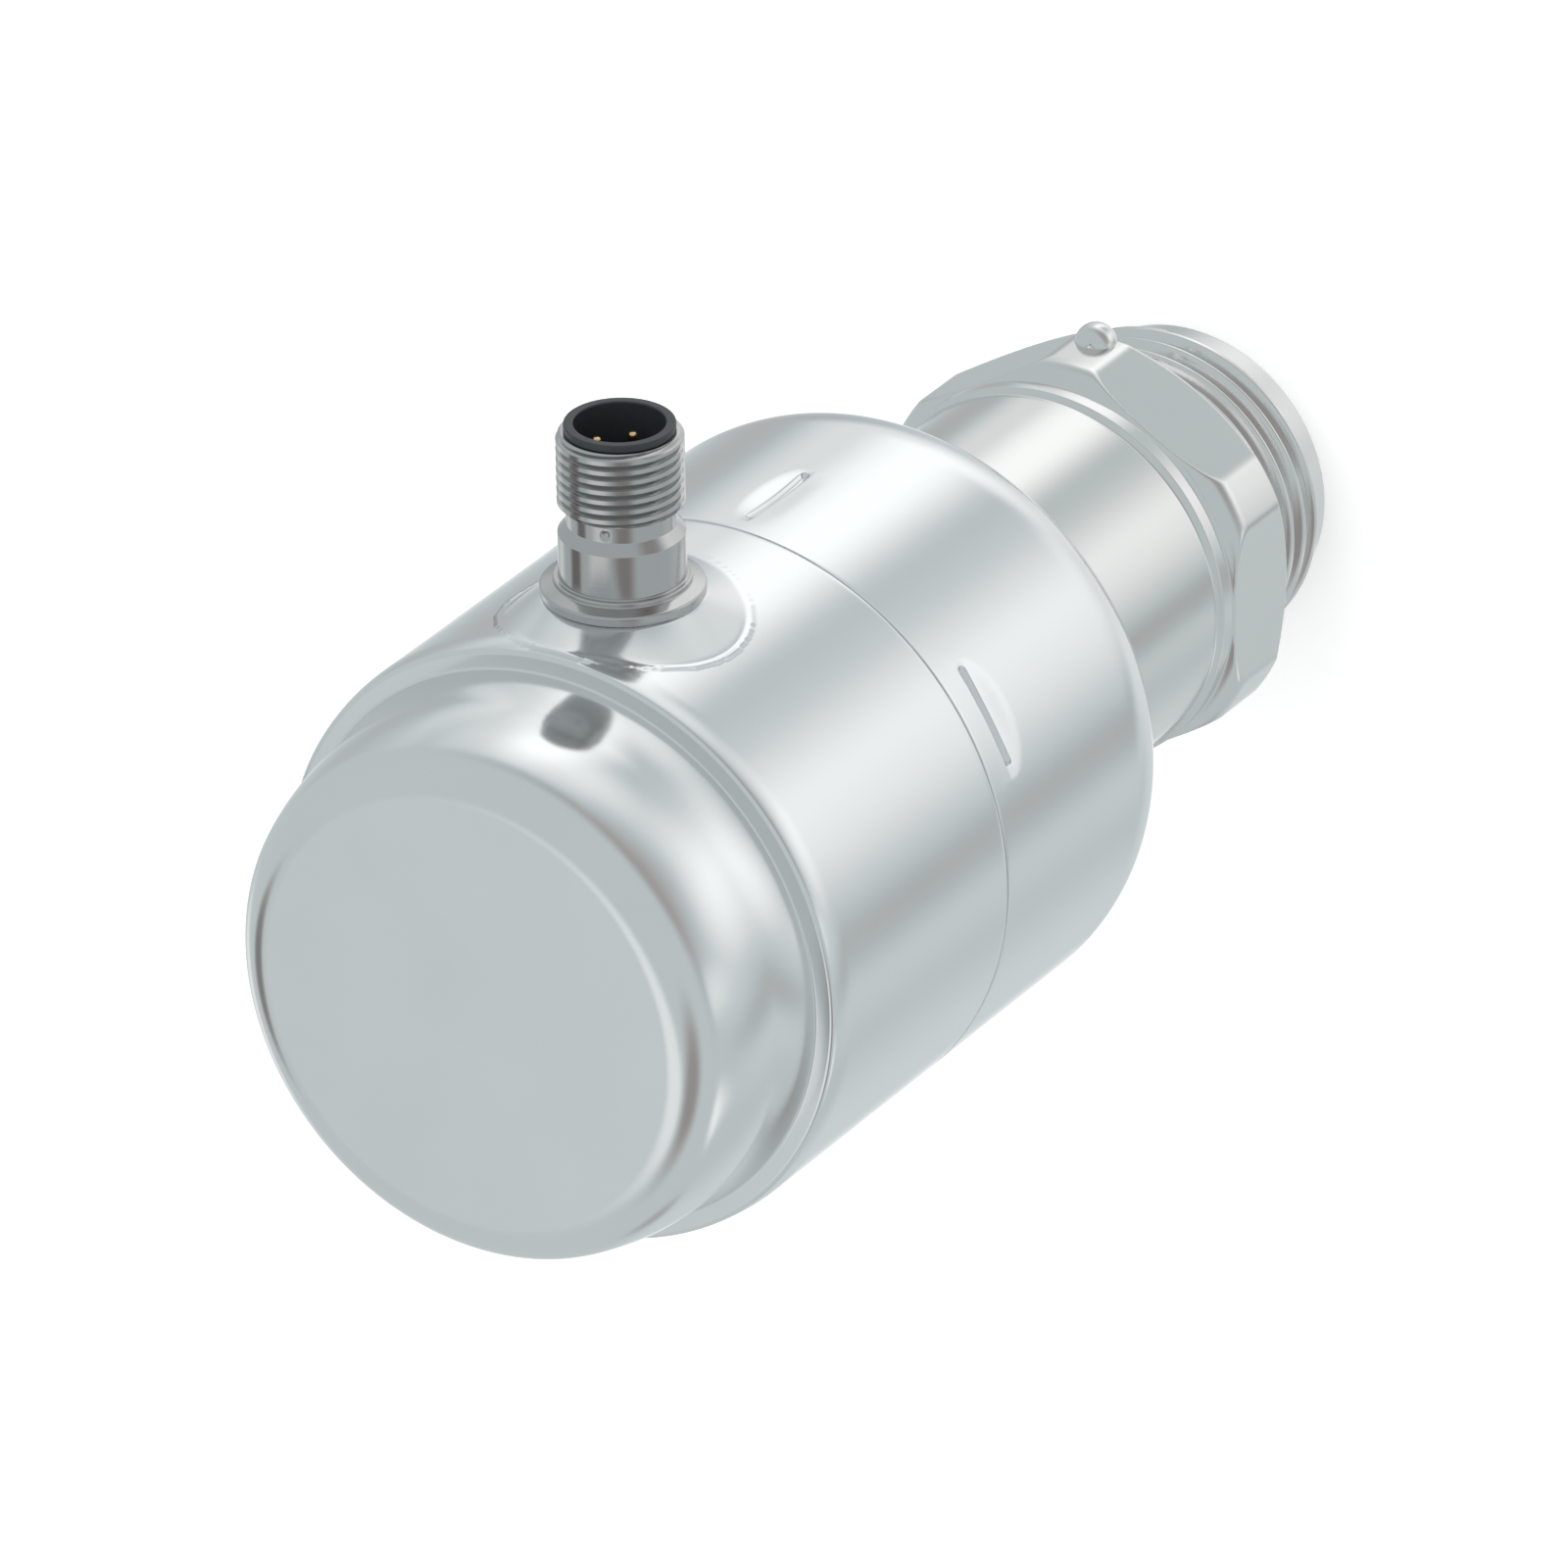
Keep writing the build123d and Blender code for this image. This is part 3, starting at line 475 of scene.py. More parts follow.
def thread_levels(start, end, pitch, per_turn, angle):
    """Levels of a thread's rows: each climbs one pitch a turn, held between the thread's ends."""
    count = int(np.ceil((end - start) / pitch * per_turn)) + per_turn + 1
    climb = start - pitch + pitch / per_turn * np.arange(count)[:, None]
    return np.clip(climb + pitch * angle[None] / FULL_TURN, start, end)


def thread_shift(rows, first, count, per_turn):
    """Row that each row meets after a full turn: in the thread, the one a pitch further up."""
    shift = np.arange(rows)
    shift[first:first + count] = np.minimum(first + np.arange(count) + per_turn,
                                            first + count - 1)
    return shift


def stacked(blocks):
    """Radii and levels of several grids, one above the other."""
    return [np.concatenate(part) for part in zip(*blocks)]


def hexagon_radius(angle):
    """Distance from the axis to a side of the hexagon: half its width over the cosine to it."""
    step = FULL_TURN / 6
    return HEX_HALF / np.cos((angle - HEX_TURN) % step - step / 2)


class SENSOR_OT_process_end(bpy.types.Operator):
    """Turned process connection with a helical pipe thread, hexagon, collar and neck"""

    bl_idname = "sensor.process_end"
    bl_label = "Process connection"

    def execute(self, context):
        angle = turns(PROCESS_COLUMNS)
        # rows at the ends of a rounded table only aim its first and last edge, and are left out
        land = softened(END_LAND, steps=4)[3:-5]
        level = thread_levels(THREAD_START, THREAD_END, THREAD_PITCH, THREAD_ROWS, angle)
        phase = (level - THREAD_CREST - THREAD_PITCH * angle[None] / FULL_TURN) / THREAD_PITCH
        depth = (THREAD_MAJOR - THREAD_MINOR) * (1 - ridge(phase, *THREAD_FLATS))
        radius = THREAD_MAJOR - depth * (smooth_step((level - THREAD_START) / THREAD_FADES[0])
                                         * smooth_step((THREAD_END - level) / THREAD_FADES[1]))
        before = np.concatenate([RUN_OUT, softened(RELIEF)[1:8],
                                 [[19.3, HEX_FRONT], [19.5, HEX_FRONT]]])
        sides = np.concatenate([
            np.linspace((HEX_LAND - HEX_CHAMFER, HEX_FRONT),
                        (HEX_LAND, HEX_FRONT + HEX_CHAMFER), 9),
            np.linspace((HEX_LAND, HEX_LAND_LEVELS[0]), (HEX_LAND, HEX_LAND_LEVELS[1]), 4),
            arc(HEX_REAR[:2], HEX_REAR[2], 0, HEX_REAR[3], 14),
            [[19.45, 25.36]]])
        hex_radius, hex_level = rings(sides, PROCESS_COLUMNS)
        hex_radius = soft_min(hex_radius, hexagon_radius(angle)[None], HEX_EDGE)
        after = np.concatenate([softened(COLLAR_AND_NECK, steps=4)[:-1],
                                softened(BORE, steps=1)[1:]])
        all_radius, all_level = stacked([
            rings(land, PROCESS_COLUMNS), (radius, level), rings(before, PROCESS_COLUMNS),
            (hex_radius, hex_level), rings(after, PROCESS_COLUMNS)])
        rows = len(all_radius)
        shift = thread_shift(rows, len(land), len(level), THREAD_ROWS)
        points = about_z(all_radius, all_level, np.broadcast_to(angle, all_radius.shape))
        piece = mesh_object("process_body", points, loop_quads(rows, PROCESS_COLUMNS, shift))
        face_outwards(piece)
        finish_piece(piece, FIXED_BODY, ["process_connection"],
                     finishes()["turned steel"])
        return {"FINISHED"}


class SENSOR_OT_port_ball(bpy.types.Operator):
    """Ball pressed into one land of the hexagon"""

    bl_idname = "sensor.port_ball"
    bl_label = "Port ball"

    def execute(self, context):
        half = arc((0, 0), BALL_RADIUS, -90, 90, 41)
        half[0, 0] = half[-1, 0] = 0
        columns = 72
        radius, level = rings(half, columns)
        points = about_z(radius, level, np.broadcast_to(turns(columns), radius.shape))
        piece = mesh_object("port_ball", points + BALL_PLACE,
                            loop_quads(len(half), columns, wrap=False))
        face_outwards(piece)
        finish_piece(piece, FIXED_BODY, ["fill_port_ball"],
                     finishes()["ball steel"])
        return {"FINISHED"}


# Housing shells, in mm

# section of the front: a gently falling shoulder, its edge, a narrow ledge, a hollow foot of the
# cap, the cap's barrelled wall and its rim; middle and radius of each arc, angles in degrees
SHOULDER = (21.3, 114.0, 9.0)
SHOULDER_TURN = 16.0
EDGE_RADIUS = 0.45
ROOT_RADIUS = 0.25
FOOT_RADIUS = 20.0
CAP = (3.2, 122.4, 24.0)
RIM_RADIUS = 4.4
FACE = 132.95
# the shell's edge at the seam leans in on an arc of this radius, by this angle
SEAM_LEAN = (2.2, 16)
SEAM_GAP = 0.62
SHELL_START = SEAM + 0.9
# points along the wall, shoulder, small corners, long arcs and rim, outside and inside
OUTER_POINTS = (74, 9, 7, 16, 16)
INNER_POINTS = (3, 3, 3, 4, 6)


def front_section(body, inset, points):
    """Section of the front shell from the seam to the axis, set in by a distance.

    Arcs that touch have their centres on one line through the point where they meet.
    """
    turn = np.radians(SHOULDER_TURN)
    edge = (SHOULDER[0] + (SHOULDER[2] - EDGE_RADIUS) * np.cos(turn),
            SHOULDER[1] + (SHOULDER[2] - EDGE_RADIUS) * np.sin(turn))
    ledge = edge[1] + EDGE_RADIUS
    foot = (CAP[0] + CAP[2] + FOOT_RADIUS, CAP[1])
    root_level = ledge + ROOT_RADIUS
    reach = FOOT_RADIUS - ROOT_RADIUS
    root = (foot[0] - np.sqrt(reach ** 2 - (CAP[1] - root_level) ** 2), root_level)
    foot_turn = 180 + np.degrees(np.arcsin((CAP[1] - root_level) / reach))
    rim_rise = FACE - RIM_RADIUS - CAP[1]
    rim_reach = CAP[2] - RIM_RADIUS
    rim_turn = np.degrees(np.arcsin(rim_rise / rim_reach))
    rim = (CAP[0] + np.sqrt(rim_reach ** 2 - rim_rise ** 2), CAP[1] + rim_rise)
    straight = np.concatenate([np.linspace(SHELL_START, 91.5, 5)[:-1],
                               np.linspace(91.5, SHOULDER[1] - 0.1, points[0])])
    flat = np.linspace(edge[0] - 0.1, root[0] + 0.1, 3)
    top = FACE - inset
    face = np.array([rim[0] - 0.1, rim[0] - 0.6, 18.0, 12.0, 6.0, 0.0])
    return np.concatenate([
        np.stack([np.full(len(straight), body - inset), straight], axis=-1),
        arc(SHOULDER[:2], SHOULDER[2] - inset, 0, SHOULDER_TURN, points[1]),
        arc(edge, max(EDGE_RADIUS - inset, 0.0), SHOULDER_TURN, 90, points[2])[1:],
        np.stack([flat, np.full(len(flat), ledge - inset)], axis=-1),
        arc(root, ROOT_RADIUS + inset, 270, foot_turn, points[2]),
        arc(foot, FOOT_RADIUS + inset, foot_turn, 180, points[3])[1:],
        arc(CAP[:2], CAP[2] - inset, 0, rim_turn, points[3])[1:],
        arc(rim, RIM_RADIUS - inset, rim_turn, 90, points[4])[1:],
        np.stack([face, np.full(len(face), top)], axis=-1)])


# how far from the axis the connector's seat stands, the radius of its flat, the width over which
# it fades into the shell, and the hole in it
SEAT_LEVEL = 31.4
SEAT_TOP = 7.6
SEAT_FADE = 0.18
SEAT_HOLE = 6.35


def with_seat(points, body, foot):
    """Lifts the shell round the connector: straight lines from the seat's rim to its foot.

    The foot lies on the shell, and the rise fades into the shell there.
    """
    side = points[:, 1]
    height = points[:, 2] - PLUG_HEIGHT
    away = np.hypot(side, height)
    near = (points[:, 0] > 0) & (away < foot + 0.6)
    share = np.clip((away - SEAT_TOP) / (foot - SEAT_TOP), 0, 1)
    toward = side / np.maximum(away, 1e-6)
    foot_level = np.sqrt(body ** 2 - (foot * toward) ** 2)
    ramp = SEAT_LEVEL + share * (foot_level - SEAT_LEVEL)
    lifted = np.where(away < SEAT_TOP, SEAT_LEVEL, ramp)
    base = np.minimum(points[:, 0], foot_level + 5)
    soft = -soft_min(-lifted, -base, SEAT_FADE)
    out = points.copy()
    out[near, 0] = soft[near]
    return out


class SENSOR_OT_front_shell(bpy.types.Operator):
    """Drawn front shell with a ledge, barrelled cap, flat face and the connector's raised seat"""

    bl_idname = "sensor.front_shell"
    bl_label = "Front shell"

    def execute(self, context):
        sizes = context.scene.sensor_sizes
        body, wall = millimetres(sizes.body_radius), millimetres(sizes.wall)
        # columns stand closer together where the seat rises
        degrees = np.concatenate([np.arange(-28, 28, 0.4), np.arange(28, 332, 1.0)])
        angle = np.radians(degrees)
        columns = len(angle)
        edge = arc((body - SEAM_LEAN[0], SEAM + SEAM_GAP), SEAM_LEAN[0], -SEAM_LEAN[1], 0, 5)
        outer = front_section(body, 0.0, OUTER_POINTS)
        inner = front_section(body, wall, INNER_POINTS)[::-1]
        section = np.concatenate([edge, outer, inner, [[body - wall, SEAM + 0.02]]])
        radius, level = rings(section, columns)
        points = about_z(radius, level, np.broadcast_to(angle, radius.shape))
        outside = (len(edge) + len(outer)) * columns
        points[:outside] = with_seat(points[:outside], body, millimetres(sizes.seat_foot))
        piece = mesh_object("front_shell_skin", points, loop_quads(len(section), columns))
        face_outwards(piece)
        hole = [(0.0, 20.0), (SEAT_HOLE, 20.0), (SEAT_HOLE, 40.0), (0.0, 40.0)]
        cutter = lathe("seat_cutter", hole, 96, about_plug)
        face_outwards(cutter)
        cut = piece.modifiers.new("connector hole", "BOOLEAN")
        cut.object = cutter
        cut.operation = "DIFFERENCE"
        cut.solver = "EXACT"
        bpy.context.view_layer.update()
        shaped = bpy.data.meshes.new_from_object(
            piece.evaluated_get(bpy.context.evaluated_depsgraph_get()))
        piece.modifiers.clear()
        piece.data = shaped
        piece.data.name = "front_shell_skin"
        piece.data.shade_smooth()
        bpy.data.objects.remove(cutter)
        finish_piece(piece, TURNING_BODY, ["front_shell"], finishes()["drawn steel"])
        return {"FINISHED"}


# each pressed slot: angle and height of its middle, and whether it runs round or along the body
PRESSED_SLOTS = ((-59.5, 82.0, True), (-1.0, 77.6, False))
SLOT_HALF_LENGTH = 5.2
SLOT_HALF_WIDTH = 0.4
SLOT_EDGE = 0.2
# the dent beside each slot: its width, depth, half length and how far its middle is shifted along
RAMP_WIDTH = (3.0, 2.3)
RAMP_DEPTH = 0.4
RAMP_HALF_LENGTH = 6.2
RAMP_SHIFT = 0.3
# depth of the soft hollow behind the dent's steep wall
HOLLOW_DEPTH = 0.1
DOME_CORNER = 11.0
DOME_CORNER_LEVEL = 61.9
DOME_EDGE = 0.1


def slot_sink(angle, level, body, depth):
    """How far the dome is pressed in: a soft ramp down to a steep wall, a narrow slot at its foot.

    The distance to the slot is that to a straight line as long as it is less its two round ends.
    """
    sink = np.zeros_like(level)
    for (middle, height, runs_round), ramp_width in zip(PRESSED_SLOTS, RAMP_WIDTH):
        round_way = np.radians((np.degrees(angle) - middle + 180) % 360 - 180) * body
        up_way = level - height
        along, across = (round_way, -up_way) if runs_round else (-up_way, round_way)
        straight = SLOT_HALF_LENGTH - SLOT_HALF_WIDTH
        over = np.maximum(np.abs(along) - straight, 0)
        away = np.hypot(over, across)
        sink += depth * smooth_step((SLOT_HALF_WIDTH + 0.06 - away) / SLOT_EDGE)
        # the dent is lens-shaped: widest and deepest in the middle of the slot
        ends = np.clip(1 - ((along + RAMP_SHIFT) / RAMP_HALF_LENGTH) ** 2, 0, 1)
        ramp = 1 - smooth_step((across - 0.2) / (ramp_width * np.sqrt(ends) + 0.3))
        wall = smooth_step((across + 0.75) / 0.4)
        sink += RAMP_DEPTH * ends * ramp * wall
        sink += HOLLOW_DEPTH * ends * np.exp(-((across + 0.9) / 1.3) ** 2)
    return sink


class SENSOR_OT_rear_dome(bpy.types.Operator):
    """Drawn rear shell with its round corner, neck opening and two pressed slots"""

    bl_idname = "sensor.rear_dome"
    bl_label = "Rear dome"

    def execute(self, context):
        sizes = context.scene.sensor_sizes
        body, wall = millimetres(sizes.body_radius), millimetres(sizes.wall)
        # columns and rows stand closer together at the two slots
        fine_round = np.arange(-73, -46, 0.28)
        fine_along = np.arange(-7, 5, 0.28)
        coarse = np.concatenate([np.arange(-46, -7, 1.0), np.arange(5, 287, 1.0)])
        angle = np.radians(np.unique(np.round(np.concatenate([fine_round, fine_along, coarse]), 4)))
        columns = len(angle)
        corner = (body - DOME_CORNER, DOME_CORNER_LEVEL)
        opening = arc((19.75, 51.27), 0.35, -100, -178, 5)[::-1]
        bend = arc(corner, DOME_CORNER, -86.5, 0, 44)
        straight = np.concatenate([np.linspace(62.6, 70.8, 12), np.arange(71, 84.2, 0.17),
                                   np.linspace(84.4, SEAM - 0.12, 5)])
        side = np.stack([np.full(len(straight), body), straight], axis=-1)
        edge = arc((body - DOME_EDGE, SEAM - 0.12), DOME_EDGE, 0, 90, 4)
        inner = np.concatenate([
            [[body - wall, SEAM - 0.02], [body - wall, 75.0], [body - wall, DOME_CORNER_LEVEL]],
            arc(corner, DOME_CORNER - wall, 0, -68.4, 16)[1:], [[21.0, 52.6], [19.4, 52.6]]])
        section = np.concatenate([opening, bend, side, edge, inner])
        outside = len(section) - len(inner)
        radius, level = rings(section, columns)
        turn = np.broadcast_to(angle, radius.shape)
        radius[:outside] -= slot_sink(turn[:outside], level[:outside], body,
                                      millimetres(sizes.slot_depth))
        points = about_z(radius, level, turn)
        piece = mesh_object("rear_dome_skin", points, loop_quads(len(section), columns))
        face_outwards(piece)
        finish_piece(piece, TURNING_BODY, ["rear_dome"], finishes()["drawn steel"])
        return {"FINISHED"}


# Connector, in mm; levels are distances from the sensor's axis

M12_PITCH = 1.0
M12_MAJOR = 6.0
M12_MINOR = 5.39
M12_TOP = 48.1
M12_BOTTOM = 40.3
M12_ROWS = 14
M12_FLATS = (6 / M12_ROWS, 0.0)
M12_CREST = M12_BOTTOM - 4 / M12_ROWS
# radius at which the thread ends at the top and at the waist, and the softness of both ends
M12_TIP = 5.5
M12_WAIST = 5.2
M12_SOFT = 0.06
# edges turned by more than this, in degrees, stay sharp
SHARP_TURN = 35
CRIMP_ANGLES = (-135.0, -15.0, 105.0)
CRIMP_LEVEL = 39.55
CRIMP_DEPTH = 0.3
CRIMP_RADIUS = 0.55
CRIMP_EDGE = 0.4
KEY_ANGLE = 62.0
KEY_HALF_ANGLE = 8.0
KEY_HEIGHT = 0.6
BORE_RADIUS = 4.3
PIN_CIRCLE = 2.5
PIN_TURN = 3.0

# radius, level and rounding of each corner: inside the housing, flange, barrel and waist
PLUG_BODY = ((4.8, 22.0, 0.1), (5.9, 22.0, 0.2), (5.9, 27.4, 0.1), (6.3, 27.4, 0.1),
             (6.3, 28.8, 0.05), (5.5, 28.8, 0.05), (5.5, 30.4, 0.05), (6.3, 30.4, 0.05),
             (6.3, 31.4, 0.1), (7.8, 31.4, 0.25), (7.8, 32.4, 0.2), (6.5, 32.8, 0.1),
             (6.5, 33.3, 0.12), (6.0, 33.3, 0.1), (6.0, 37.8, 0.15), (5.2, 38.8, 0.12),
             (5.2, 40.3, 0.0))
PLUG_TIP = ((5.5, 48.1, 0.0), (4.8, 48.1, 0.08), (4.8, 40.0, 0.0), (5.2, 30.0, 0.0))
INSERT = ((0.0, 22.5, 0.0), (4.75, 22.5, 0.1), (4.75, 48.12, 0.05), (5.25, 48.12, 0.08),
          (5.25, 48.85, 0.15), (4.3, 48.85, 0.15), (4.3, 47.9, 0.0), (4.3, 47.6, 0.0),
          (4.3, 41.2, 0.15), (0.0, 41.2, 0.0))


class SENSOR_OT_plug_shell(bpy.types.Operator):
    """Turned connector body with its helical thread, crimped waist, barrel and flange"""

    bl_idname = "sensor.plug_shell"
    bl_label = "Connector shell"

    def execute(self, context):
        columns = 360
        angle = turns(columns)
        # rows of the grid run along both edges of the crest, so its flat mirrors like a cylinder
        level = thread_levels(M12_BOTTOM, M12_TOP, M12_PITCH, M12_ROWS, angle)
        phase = (level - M12_CREST - M12_PITCH * angle[None] / FULL_TURN) / M12_PITCH
        radius = M12_MINOR + (M12_MAJOR - M12_MINOR) * ridge(phase, *M12_FLATS)
        radius = soft_min(radius, M12_TIP + (M12_TOP - level), M12_SOFT)
        radius = soft_min(radius, M12_WAIST + (level - M12_BOTTOM) * 1.6, M12_SOFT)
        # rows close together on the waist carry the crimps
        waist = np.linspace((M12_WAIST, 39.0), (M12_WAIST, 40.2), 9)
        below = np.concatenate([softened(PLUG_BODY, steps=4)[:-1], waist])
        top = softened(PLUG_TIP)[1:-1]
        all_radius, all_level = stacked([rings(below, columns), (radius, level),
                                         rings(top, columns)])
        turn = np.broadcast_to(angle, all_radius.shape)
        at_crimps = (all_radius > 5.1) & (np.abs(all_level - CRIMP_LEVEL) < 0.7)
        for crimp in CRIMP_ANGLES:
            beside = np.radians((np.degrees(turn) - crimp + 180) % 360 - 180) * M12_WAIST
            away = np.hypot(beside, all_level - CRIMP_LEVEL)
            dip = CRIMP_DEPTH * smooth_step((CRIMP_RADIUS - away) / CRIMP_EDGE)
            all_radius = np.where(at_crimps, all_radius - dip, all_radius)
        rows = len(all_radius)
        shift = thread_shift(rows, len(below), len(level), M12_ROWS)
        points = about_plug(all_radius, all_level, turn)
        piece = mesh_object("plug_shell", points, loop_quads(rows, columns, shift))
        face_outwards(piece)
        piece.data.set_sharp_from_angle(angle=np.radians(SHARP_TURN))
        finish_piece(piece, TURNING_BODY, ["connector_shell"],
                     finishes()["connector steel"])
        return {"FINISHED"}


class SENSOR_OT_plug_insert(bpy.types.Operator):
    """Black contact carrier with its rim, tube and floor"""

    bl_idname = "sensor.plug_insert"
    bl_label = "Contact carrier"

    def execute(self, context):
        section = softened(INSERT, steps=4)
        columns = 216
        radius, level = rings(section, columns)
        turn = np.broadcast_to(turns(columns), radius.shape)
        # the key stands out from the wall of the bore, a little below the rim
        beside = np.abs((np.degrees(turn) - KEY_ANGLE + 180) % 360 - 180)
        key = smooth_step((KEY_HALF_ANGLE - beside) / 3.0) * smooth_step((47.9 - level) / 0.3)
        in_bore = (np.abs(radius - BORE_RADIUS) < 0.2) & (level > 41.3)
        radius = np.where(in_bore, radius - KEY_HEIGHT * key, radius)
        piece = mesh_object("plug_insert", about_plug(radius, level, turn),
                            loop_quads(len(section), columns))
        face_outwards(piece)
        finish_piece(piece, TURNING_BODY, ["connector_insert"],
                     finishes()["black insert"])
        return {"FINISHED"}


class SENSOR_OT_contact_pins(bpy.types.Operator):
    """Four gold pins with rounded tips"""

    bl_idname = "sensor.contact_pins"
    bl_label = "Contact pins"

    def execute(self, context):
        half = np.concatenate([[[0.0, 20.5], [0.4, 20.5], [0.5, 20.6], [0.5, 46.3]],
                               arc((0.15, 46.4), 0.35, 0, 90, 7), [[0.0, 46.75]]])
        columns = 24
        radius, level = rings(half, columns)
        one = about_plug(radius, level, np.broadcast_to(turns(columns), radius.shape))
        quads = loop_quads(len(half), columns, wrap=False)
        points, corners = [], []
        for index in range(4):
            turn = np.radians(PIN_TURN + 90 * index)
            points.append(one + [0, PIN_CIRCLE * np.cos(turn), PIN_CIRCLE * np.sin(turn)])
            corners.append(quads + index * len(one))
        piece = mesh_object("plug_pins", np.concatenate(points), np.concatenate(corners))
        face_outwards(piece)
        finish_piece(piece, TURNING_BODY, ["contact_pins"],
                     finishes()["gold contact"])
        return {"FINISHED"}


class SENSOR_OT_inner_parts(bpy.types.Operator):
    """Gives every solid that stays its own procedural finish"""

    bl_idname = "sensor.inner_parts"
    bl_label = "Inner parts"

    def execute(self, context):
        slots = {part["node"]: part["material_slot"] for part in frame["record"]["subparts"]}
        made = finishes()
        for name, node in frame["nodes"].items():
            finish = made[SLOT_FINISH[slots[name]]]
            if name.startswith("connector") and finish.name == "turned steel":
                finish = made["connector steel"]
            for slot in node.material_slots:
                slot.material = finish
        return {"FINISHED"}


# Stage

# soft panels of the studio: azimuth and elevation of the middle, half width and half height, all
# in degrees, softness of the edge and how much brighter (or darker) than the surroundings it is
PANELS = (
    (140, -49, 8, 20, 0.8, 0.30),
    (178, -49, 13, 20, 0.8, 0.12),
    (-128, -49, 8, 20, 0.8, 0.10),
    (-112, -49, 6, 20, 0.8, -0.20),
    (-66, -49, 14, 20, 0.8, 0.52),
    (-44, -54, 12, 18, 0.8, 0.2),
    (17, -49, 11, 20, 0.8, 0.95),
    (42, -49, 8, 20, 0.8, 0.30),
    (59, -49, 6, 20, 0.8, 0.24),
    (88, -49, 11, 20, 0.8, -0.18),
    (132, -49, 7, 20, 0.8, 0.50),
    (-46, -3, 38, 14, 0.7, -0.36),
    (8, -2, 22, 8, 0.8, -0.09),
    (-139, 46, 24, 13, 0.6, -0.50),
    (121, 26, 7, 11, 0.4, -0.66),
    (160, 60, 16, 12, 0.5, 0.4),
    (-56, -33, 30, 10, 0.9, 0.38),
    (9, -28, 20, 10, 0.9, 0.6),
    (-46, -88, 22, 22, 0.6, 0.35),
    (225, -14, 9, 9, 0.7, 0.55),
    (185, -14, 7, 9, 0.7, -0.28),
    (268, -14, 8, 9, 0.7, 0.35),
    (122, -14, 10, 9, 0.7, 0.45),
)
# brightness of the surroundings that metal mirrors
STUDIO_LEVEL = 0.645
# tones of dim parts, walls and lamps of the studio, and where on the scale of brightness they are
STUDIO_TONES = ((1.0, 0.965, 0.945), (0.895, 0.985, 1.0), (0.985, 1.0, 0.995))
TONE_PLACES = (0.34, 0.47, 0.72)
# the photograph's camera: width of the film in mm, focal length and image width in pixels
FILM_WIDTH = 36.0
FOCAL_PIXELS = 18320.43
PHOTO_PIXELS = 1600
CAMERA_PLACE = (0.769105, -0.799153, 1.364441)
CAMERA_TURN = ((-0.015625, 0.891421, 0.452908), (-0.853777, 0.223858, -0.470056),
               (-0.520405, -0.394026, 0.757576))
FLOOR_REACH = 3.0
FLOOR_TONE = 0.9
FLOOR_GLOW = 0.3
LAMP_PLACE = (0.7, 0.2, 0.8)
LAMP_WATTS = 3
LAMP_SIZE = 0.9


def panel_group():
    """One soft panel: distance from its middle in widths and heights, faded over the soft edge."""
    group = bpy.data.node_groups.get("studio panel")
    if group:
        return group
    group = new_group("studio panel",
                      [*((label, "NodeSocketVector", None)
                         for label in ("Direction", "Middle", "Turn", "Size")),
                       ("Soft", "NodeSocketFloat", 0.5), ("Gain", "NodeSocketFloat", 0.0)],
                      [("Value", "NodeSocketFloat")])
    enter = add_node(group, "NodeGroupInput")
    leave = add_node(group, "NodeGroupOutput")
    local = add_node(group, "ShaderNodeMapping", vector_type="TEXTURE")
    group.links.new(enter.outputs["Direction"], local.inputs["Vector"])
    group.links.new(enter.outputs["Middle"], local.inputs["Location"])
    group.links.new(enter.outputs["Turn"], local.inputs["Rotation"])
    group.links.new(enter.outputs["Size"], local.inputs["Scale"])
    away = add_node(group, "ShaderNodeVectorMath", operation="LENGTH")
    group.links.new(local.outputs[0], away.inputs[0])
    outer = add_node(group, "ShaderNodeMath", operation="ADD", inputs={0: 1.0})
    group.links.new(enter.outputs["Soft"], outer.inputs[1])
    inner = add_node(group, "ShaderNodeMath", operation="SUBTRACT", inputs={0: 1.0})
    group.links.new(enter.outputs["Soft"], inner.inputs[1])
    fade = add_node(group, "ShaderNodeMapRange", interpolation_type="SMOOTHSTEP")
    group.links.new(away.outputs["Value"], fade.inputs["Value"])
    group.links.new(outer.outputs[0], fade.inputs["From Min"])
    group.links.new(inner.outputs[0], fade.inputs["From Max"])
    gain = add_node(group, "ShaderNodeMath", operation="MULTIPLY")
    group.links.new(fade.outputs[0], gain.inputs[0])
    group.links.new(enter.outputs["Gain"], gain.inputs[1])
    group.links.new(gain.outputs[0], leave.inputs["Value"])
    return group


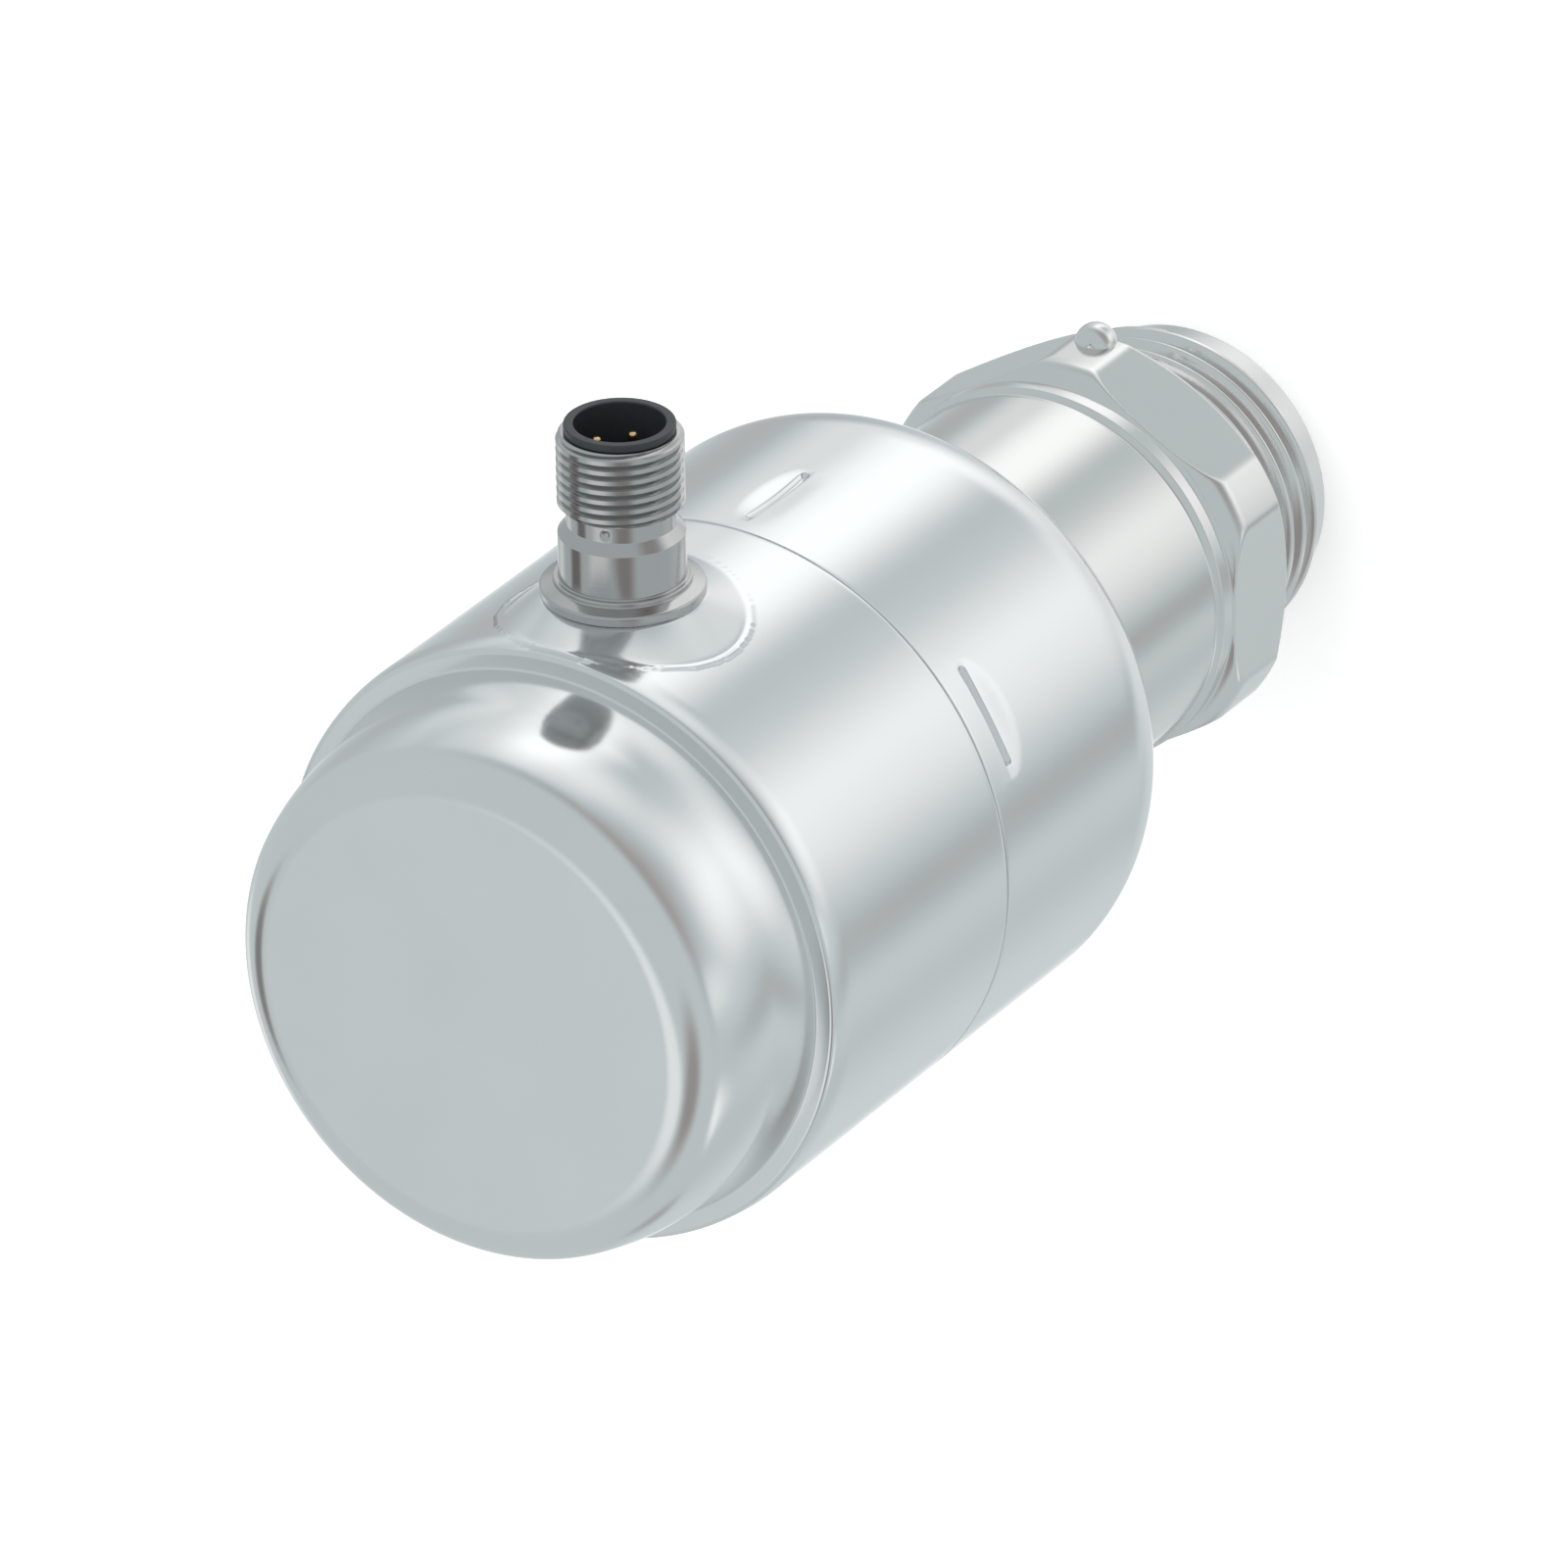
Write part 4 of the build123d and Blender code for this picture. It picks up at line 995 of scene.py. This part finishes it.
def studio_world(world):
    """Plain white for the camera and soft light, and the studio's panels for what metal mirrors."""
    world.use_nodes = True
    tree = world.node_tree
    back = tree.nodes["Background"]
    leave = tree.nodes["World Output"]
    back.inputs["Color"].default_value = (1, 1, 1, 1)
    back.inputs["Strength"].default_value = 1.0
    where = add_node(tree, "ShaderNodeTexCoord")
    total = None
    for azimuth, elevation, wide, high, soft, gain in PANELS:
        around, up = np.radians(azimuth), np.radians(elevation)
        panel = add_node(tree, "ShaderNodeGroup", node_tree=panel_group())
        panel.inputs["Middle"].default_value = (np.cos(up) * np.cos(around),
                                                np.cos(up) * np.sin(around), np.sin(up))
        panel.inputs["Turn"].default_value = (0, -up, around)
        panel.inputs["Size"].default_value = (1, np.sin(np.radians(wide)), np.sin(np.radians(high)))
        panel.inputs["Soft"].default_value = soft
        panel.inputs["Gain"].default_value = gain
        tree.links.new(where.outputs["Generated"], panel.inputs["Direction"])
        add = add_node(tree, "ShaderNodeMath", operation="ADD", inputs={0: 1.0})
        if total is not None:
            tree.links.new(total, add.inputs[0])
        tree.links.new(panel.outputs["Value"], add.inputs[1])
        total = add.outputs[0]
    bright = add_node(tree, "ShaderNodeMath", operation="MULTIPLY", inputs={1: STUDIO_LEVEL})
    tree.links.new(total, bright.inputs[0])
    # dim parts of the studio are warm, its walls cool and its lamps white
    tone = add_node(tree, "ShaderNodeValToRGB")
    half = add_node(tree, "ShaderNodeMath", operation="MULTIPLY", inputs={1: 0.5})
    tree.links.new(total, half.inputs[0])
    tree.links.new(half.outputs[0], tone.inputs[0])
    ramp = tone.color_ramp
    ramp.elements.new(TONE_PLACES[1])
    for element, place, shade in zip(ramp.elements, TONE_PLACES, STUDIO_TONES):
        element.position = place
        element.color = (*shade, 1)
    mirrored = add_node(tree, "ShaderNodeBackground")
    tree.links.new(tone.outputs["Color"], mirrored.inputs["Color"])
    tree.links.new(bright.outputs[0], mirrored.inputs["Strength"])
    path = add_node(tree, "ShaderNodeLightPath")
    mix = add_node(tree, "ShaderNodeMixShader")
    tree.links.new(path.outputs["Is Glossy Ray"], mix.inputs[0])
    tree.links.new(back.outputs[0], mix.inputs[1])
    tree.links.new(mirrored.outputs[0], mix.inputs[2])
    tree.links.new(mix.outputs[0], leave.inputs["Surface"])


class SENSOR_OT_stage(bpy.types.Operator):
    """Pale floor, soft studio light and the camera at the photograph's angle"""

    bl_idname = "sensor.stage"
    bl_label = "Stage"

    def execute(self, context):
        scene = context.scene
        scene.view_settings.view_transform = "Standard"
        eye = bpy.data.cameras.new("camera")
        eye.sensor_width = FILM_WIDTH
        eye.lens = FOCAL_PIXELS / PHOTO_PIXELS * FILM_WIDTH
        eye.clip_end = 20
        eye.clip_start = 0.05
        camera = bpy.data.objects.new("camera", eye)
        scene.collection.objects.link(camera)
        camera.matrix_world = Matrix.Translation(CAMERA_PLACE) @ Matrix(CAMERA_TURN).to_4x4()
        scene.camera = camera

        floor = bpy.data.meshes.new("floor")
        floor.from_pydata([(x * FLOOR_REACH, y * FLOOR_REACH, 0)
                           for x, y in ((-1, -1), (1, -1), (1, 1), (-1, 1))], [], [(0, 1, 2, 3)])
        ground = bpy.data.objects.new("floor", floor)
        scene.collection.objects.link(ground)
        pale, tree, shader = new_material("floor", 0.0)
        shader.inputs["Base Color"].default_value = (FLOOR_TONE, FLOOR_TONE, FLOOR_TONE, 1)
        shader.inputs["Roughness"].default_value = 0.9
        shader.inputs["Emission Color"].default_value = (1, 1, 1, 1)
        shader.inputs["Emission Strength"].default_value = FLOOR_GLOW
        # the panels stand below the floor as well, so what metal mirrors passes through it
        path = add_node(tree, "ShaderNodeLightPath")
        clear = add_node(tree, "ShaderNodeBsdfTransparent")
        mix = add_node(tree, "ShaderNodeMixShader")
        tree.links.new(path.outputs["Is Glossy Ray"], mix.inputs[0])
        tree.links.new(shader.outputs[0], mix.inputs[1])
        tree.links.new(clear.outputs[0], mix.inputs[2])
        tree.links.new(mix.outputs[0], tree.nodes["Material Output"].inputs["Surface"])
        floor.materials.append(pale)

        world = bpy.data.worlds.new("studio")
        scene.world = world
        studio_world(world)

        lamp = bpy.data.lights.new("key", "AREA")
        lamp.energy = LAMP_WATTS
        lamp.size = LAMP_SIZE
        key = bpy.data.objects.new("key", lamp)
        scene.collection.objects.link(key)
        key.location = LAMP_PLACE
        key.rotation_euler = key.location.to_track_quat("Z", "Y").to_euler()
        key.visible_glossy = False
        return {"FINISHED"}


STEPS = (SENSOR_OT_stage, SENSOR_OT_process_end, SENSOR_OT_port_ball, SENSOR_OT_front_shell,
         SENSOR_OT_rear_dome, SENSOR_OT_plug_shell, SENSOR_OT_plug_insert, SENSOR_OT_contact_pins,
         SENSOR_OT_inner_parts)


class SENSOR_PT_panel(bpy.types.Panel):
    """Lists the pieces of the sensor in the sidebar"""

    bl_idname = "SENSOR_PT_panel"
    bl_label = "Pressure sensor"
    bl_space_type = "VIEW_3D"
    bl_region_type = "UI"
    bl_category = "Sensor"

    def draw(self, context):
        for step in STEPS:
            self.layout.operator(step.bl_idname)


CLASSES = (SensorSizes, SensorFinish, *STEPS, SENSOR_PT_panel)


def register():
    for item in CLASSES:
        bpy.utils.register_class(item)
    bpy.types.Scene.sensor_sizes = bpy.props.PointerProperty(type=SensorSizes)
    bpy.types.Scene.sensor_finish = bpy.props.PointerProperty(type=SensorFinish)


def unregister():
    del bpy.types.Scene.sensor_finish
    del bpy.types.Scene.sensor_sizes
    for item in reversed(CLASSES):
        bpy.utils.unregister_class(item)


def main():
    register()
    for step in STEPS:
        group, name = step.bl_idname.split(".")
        getattr(getattr(bpy.ops, group), name)()


if __name__ == "__main__":
    main()
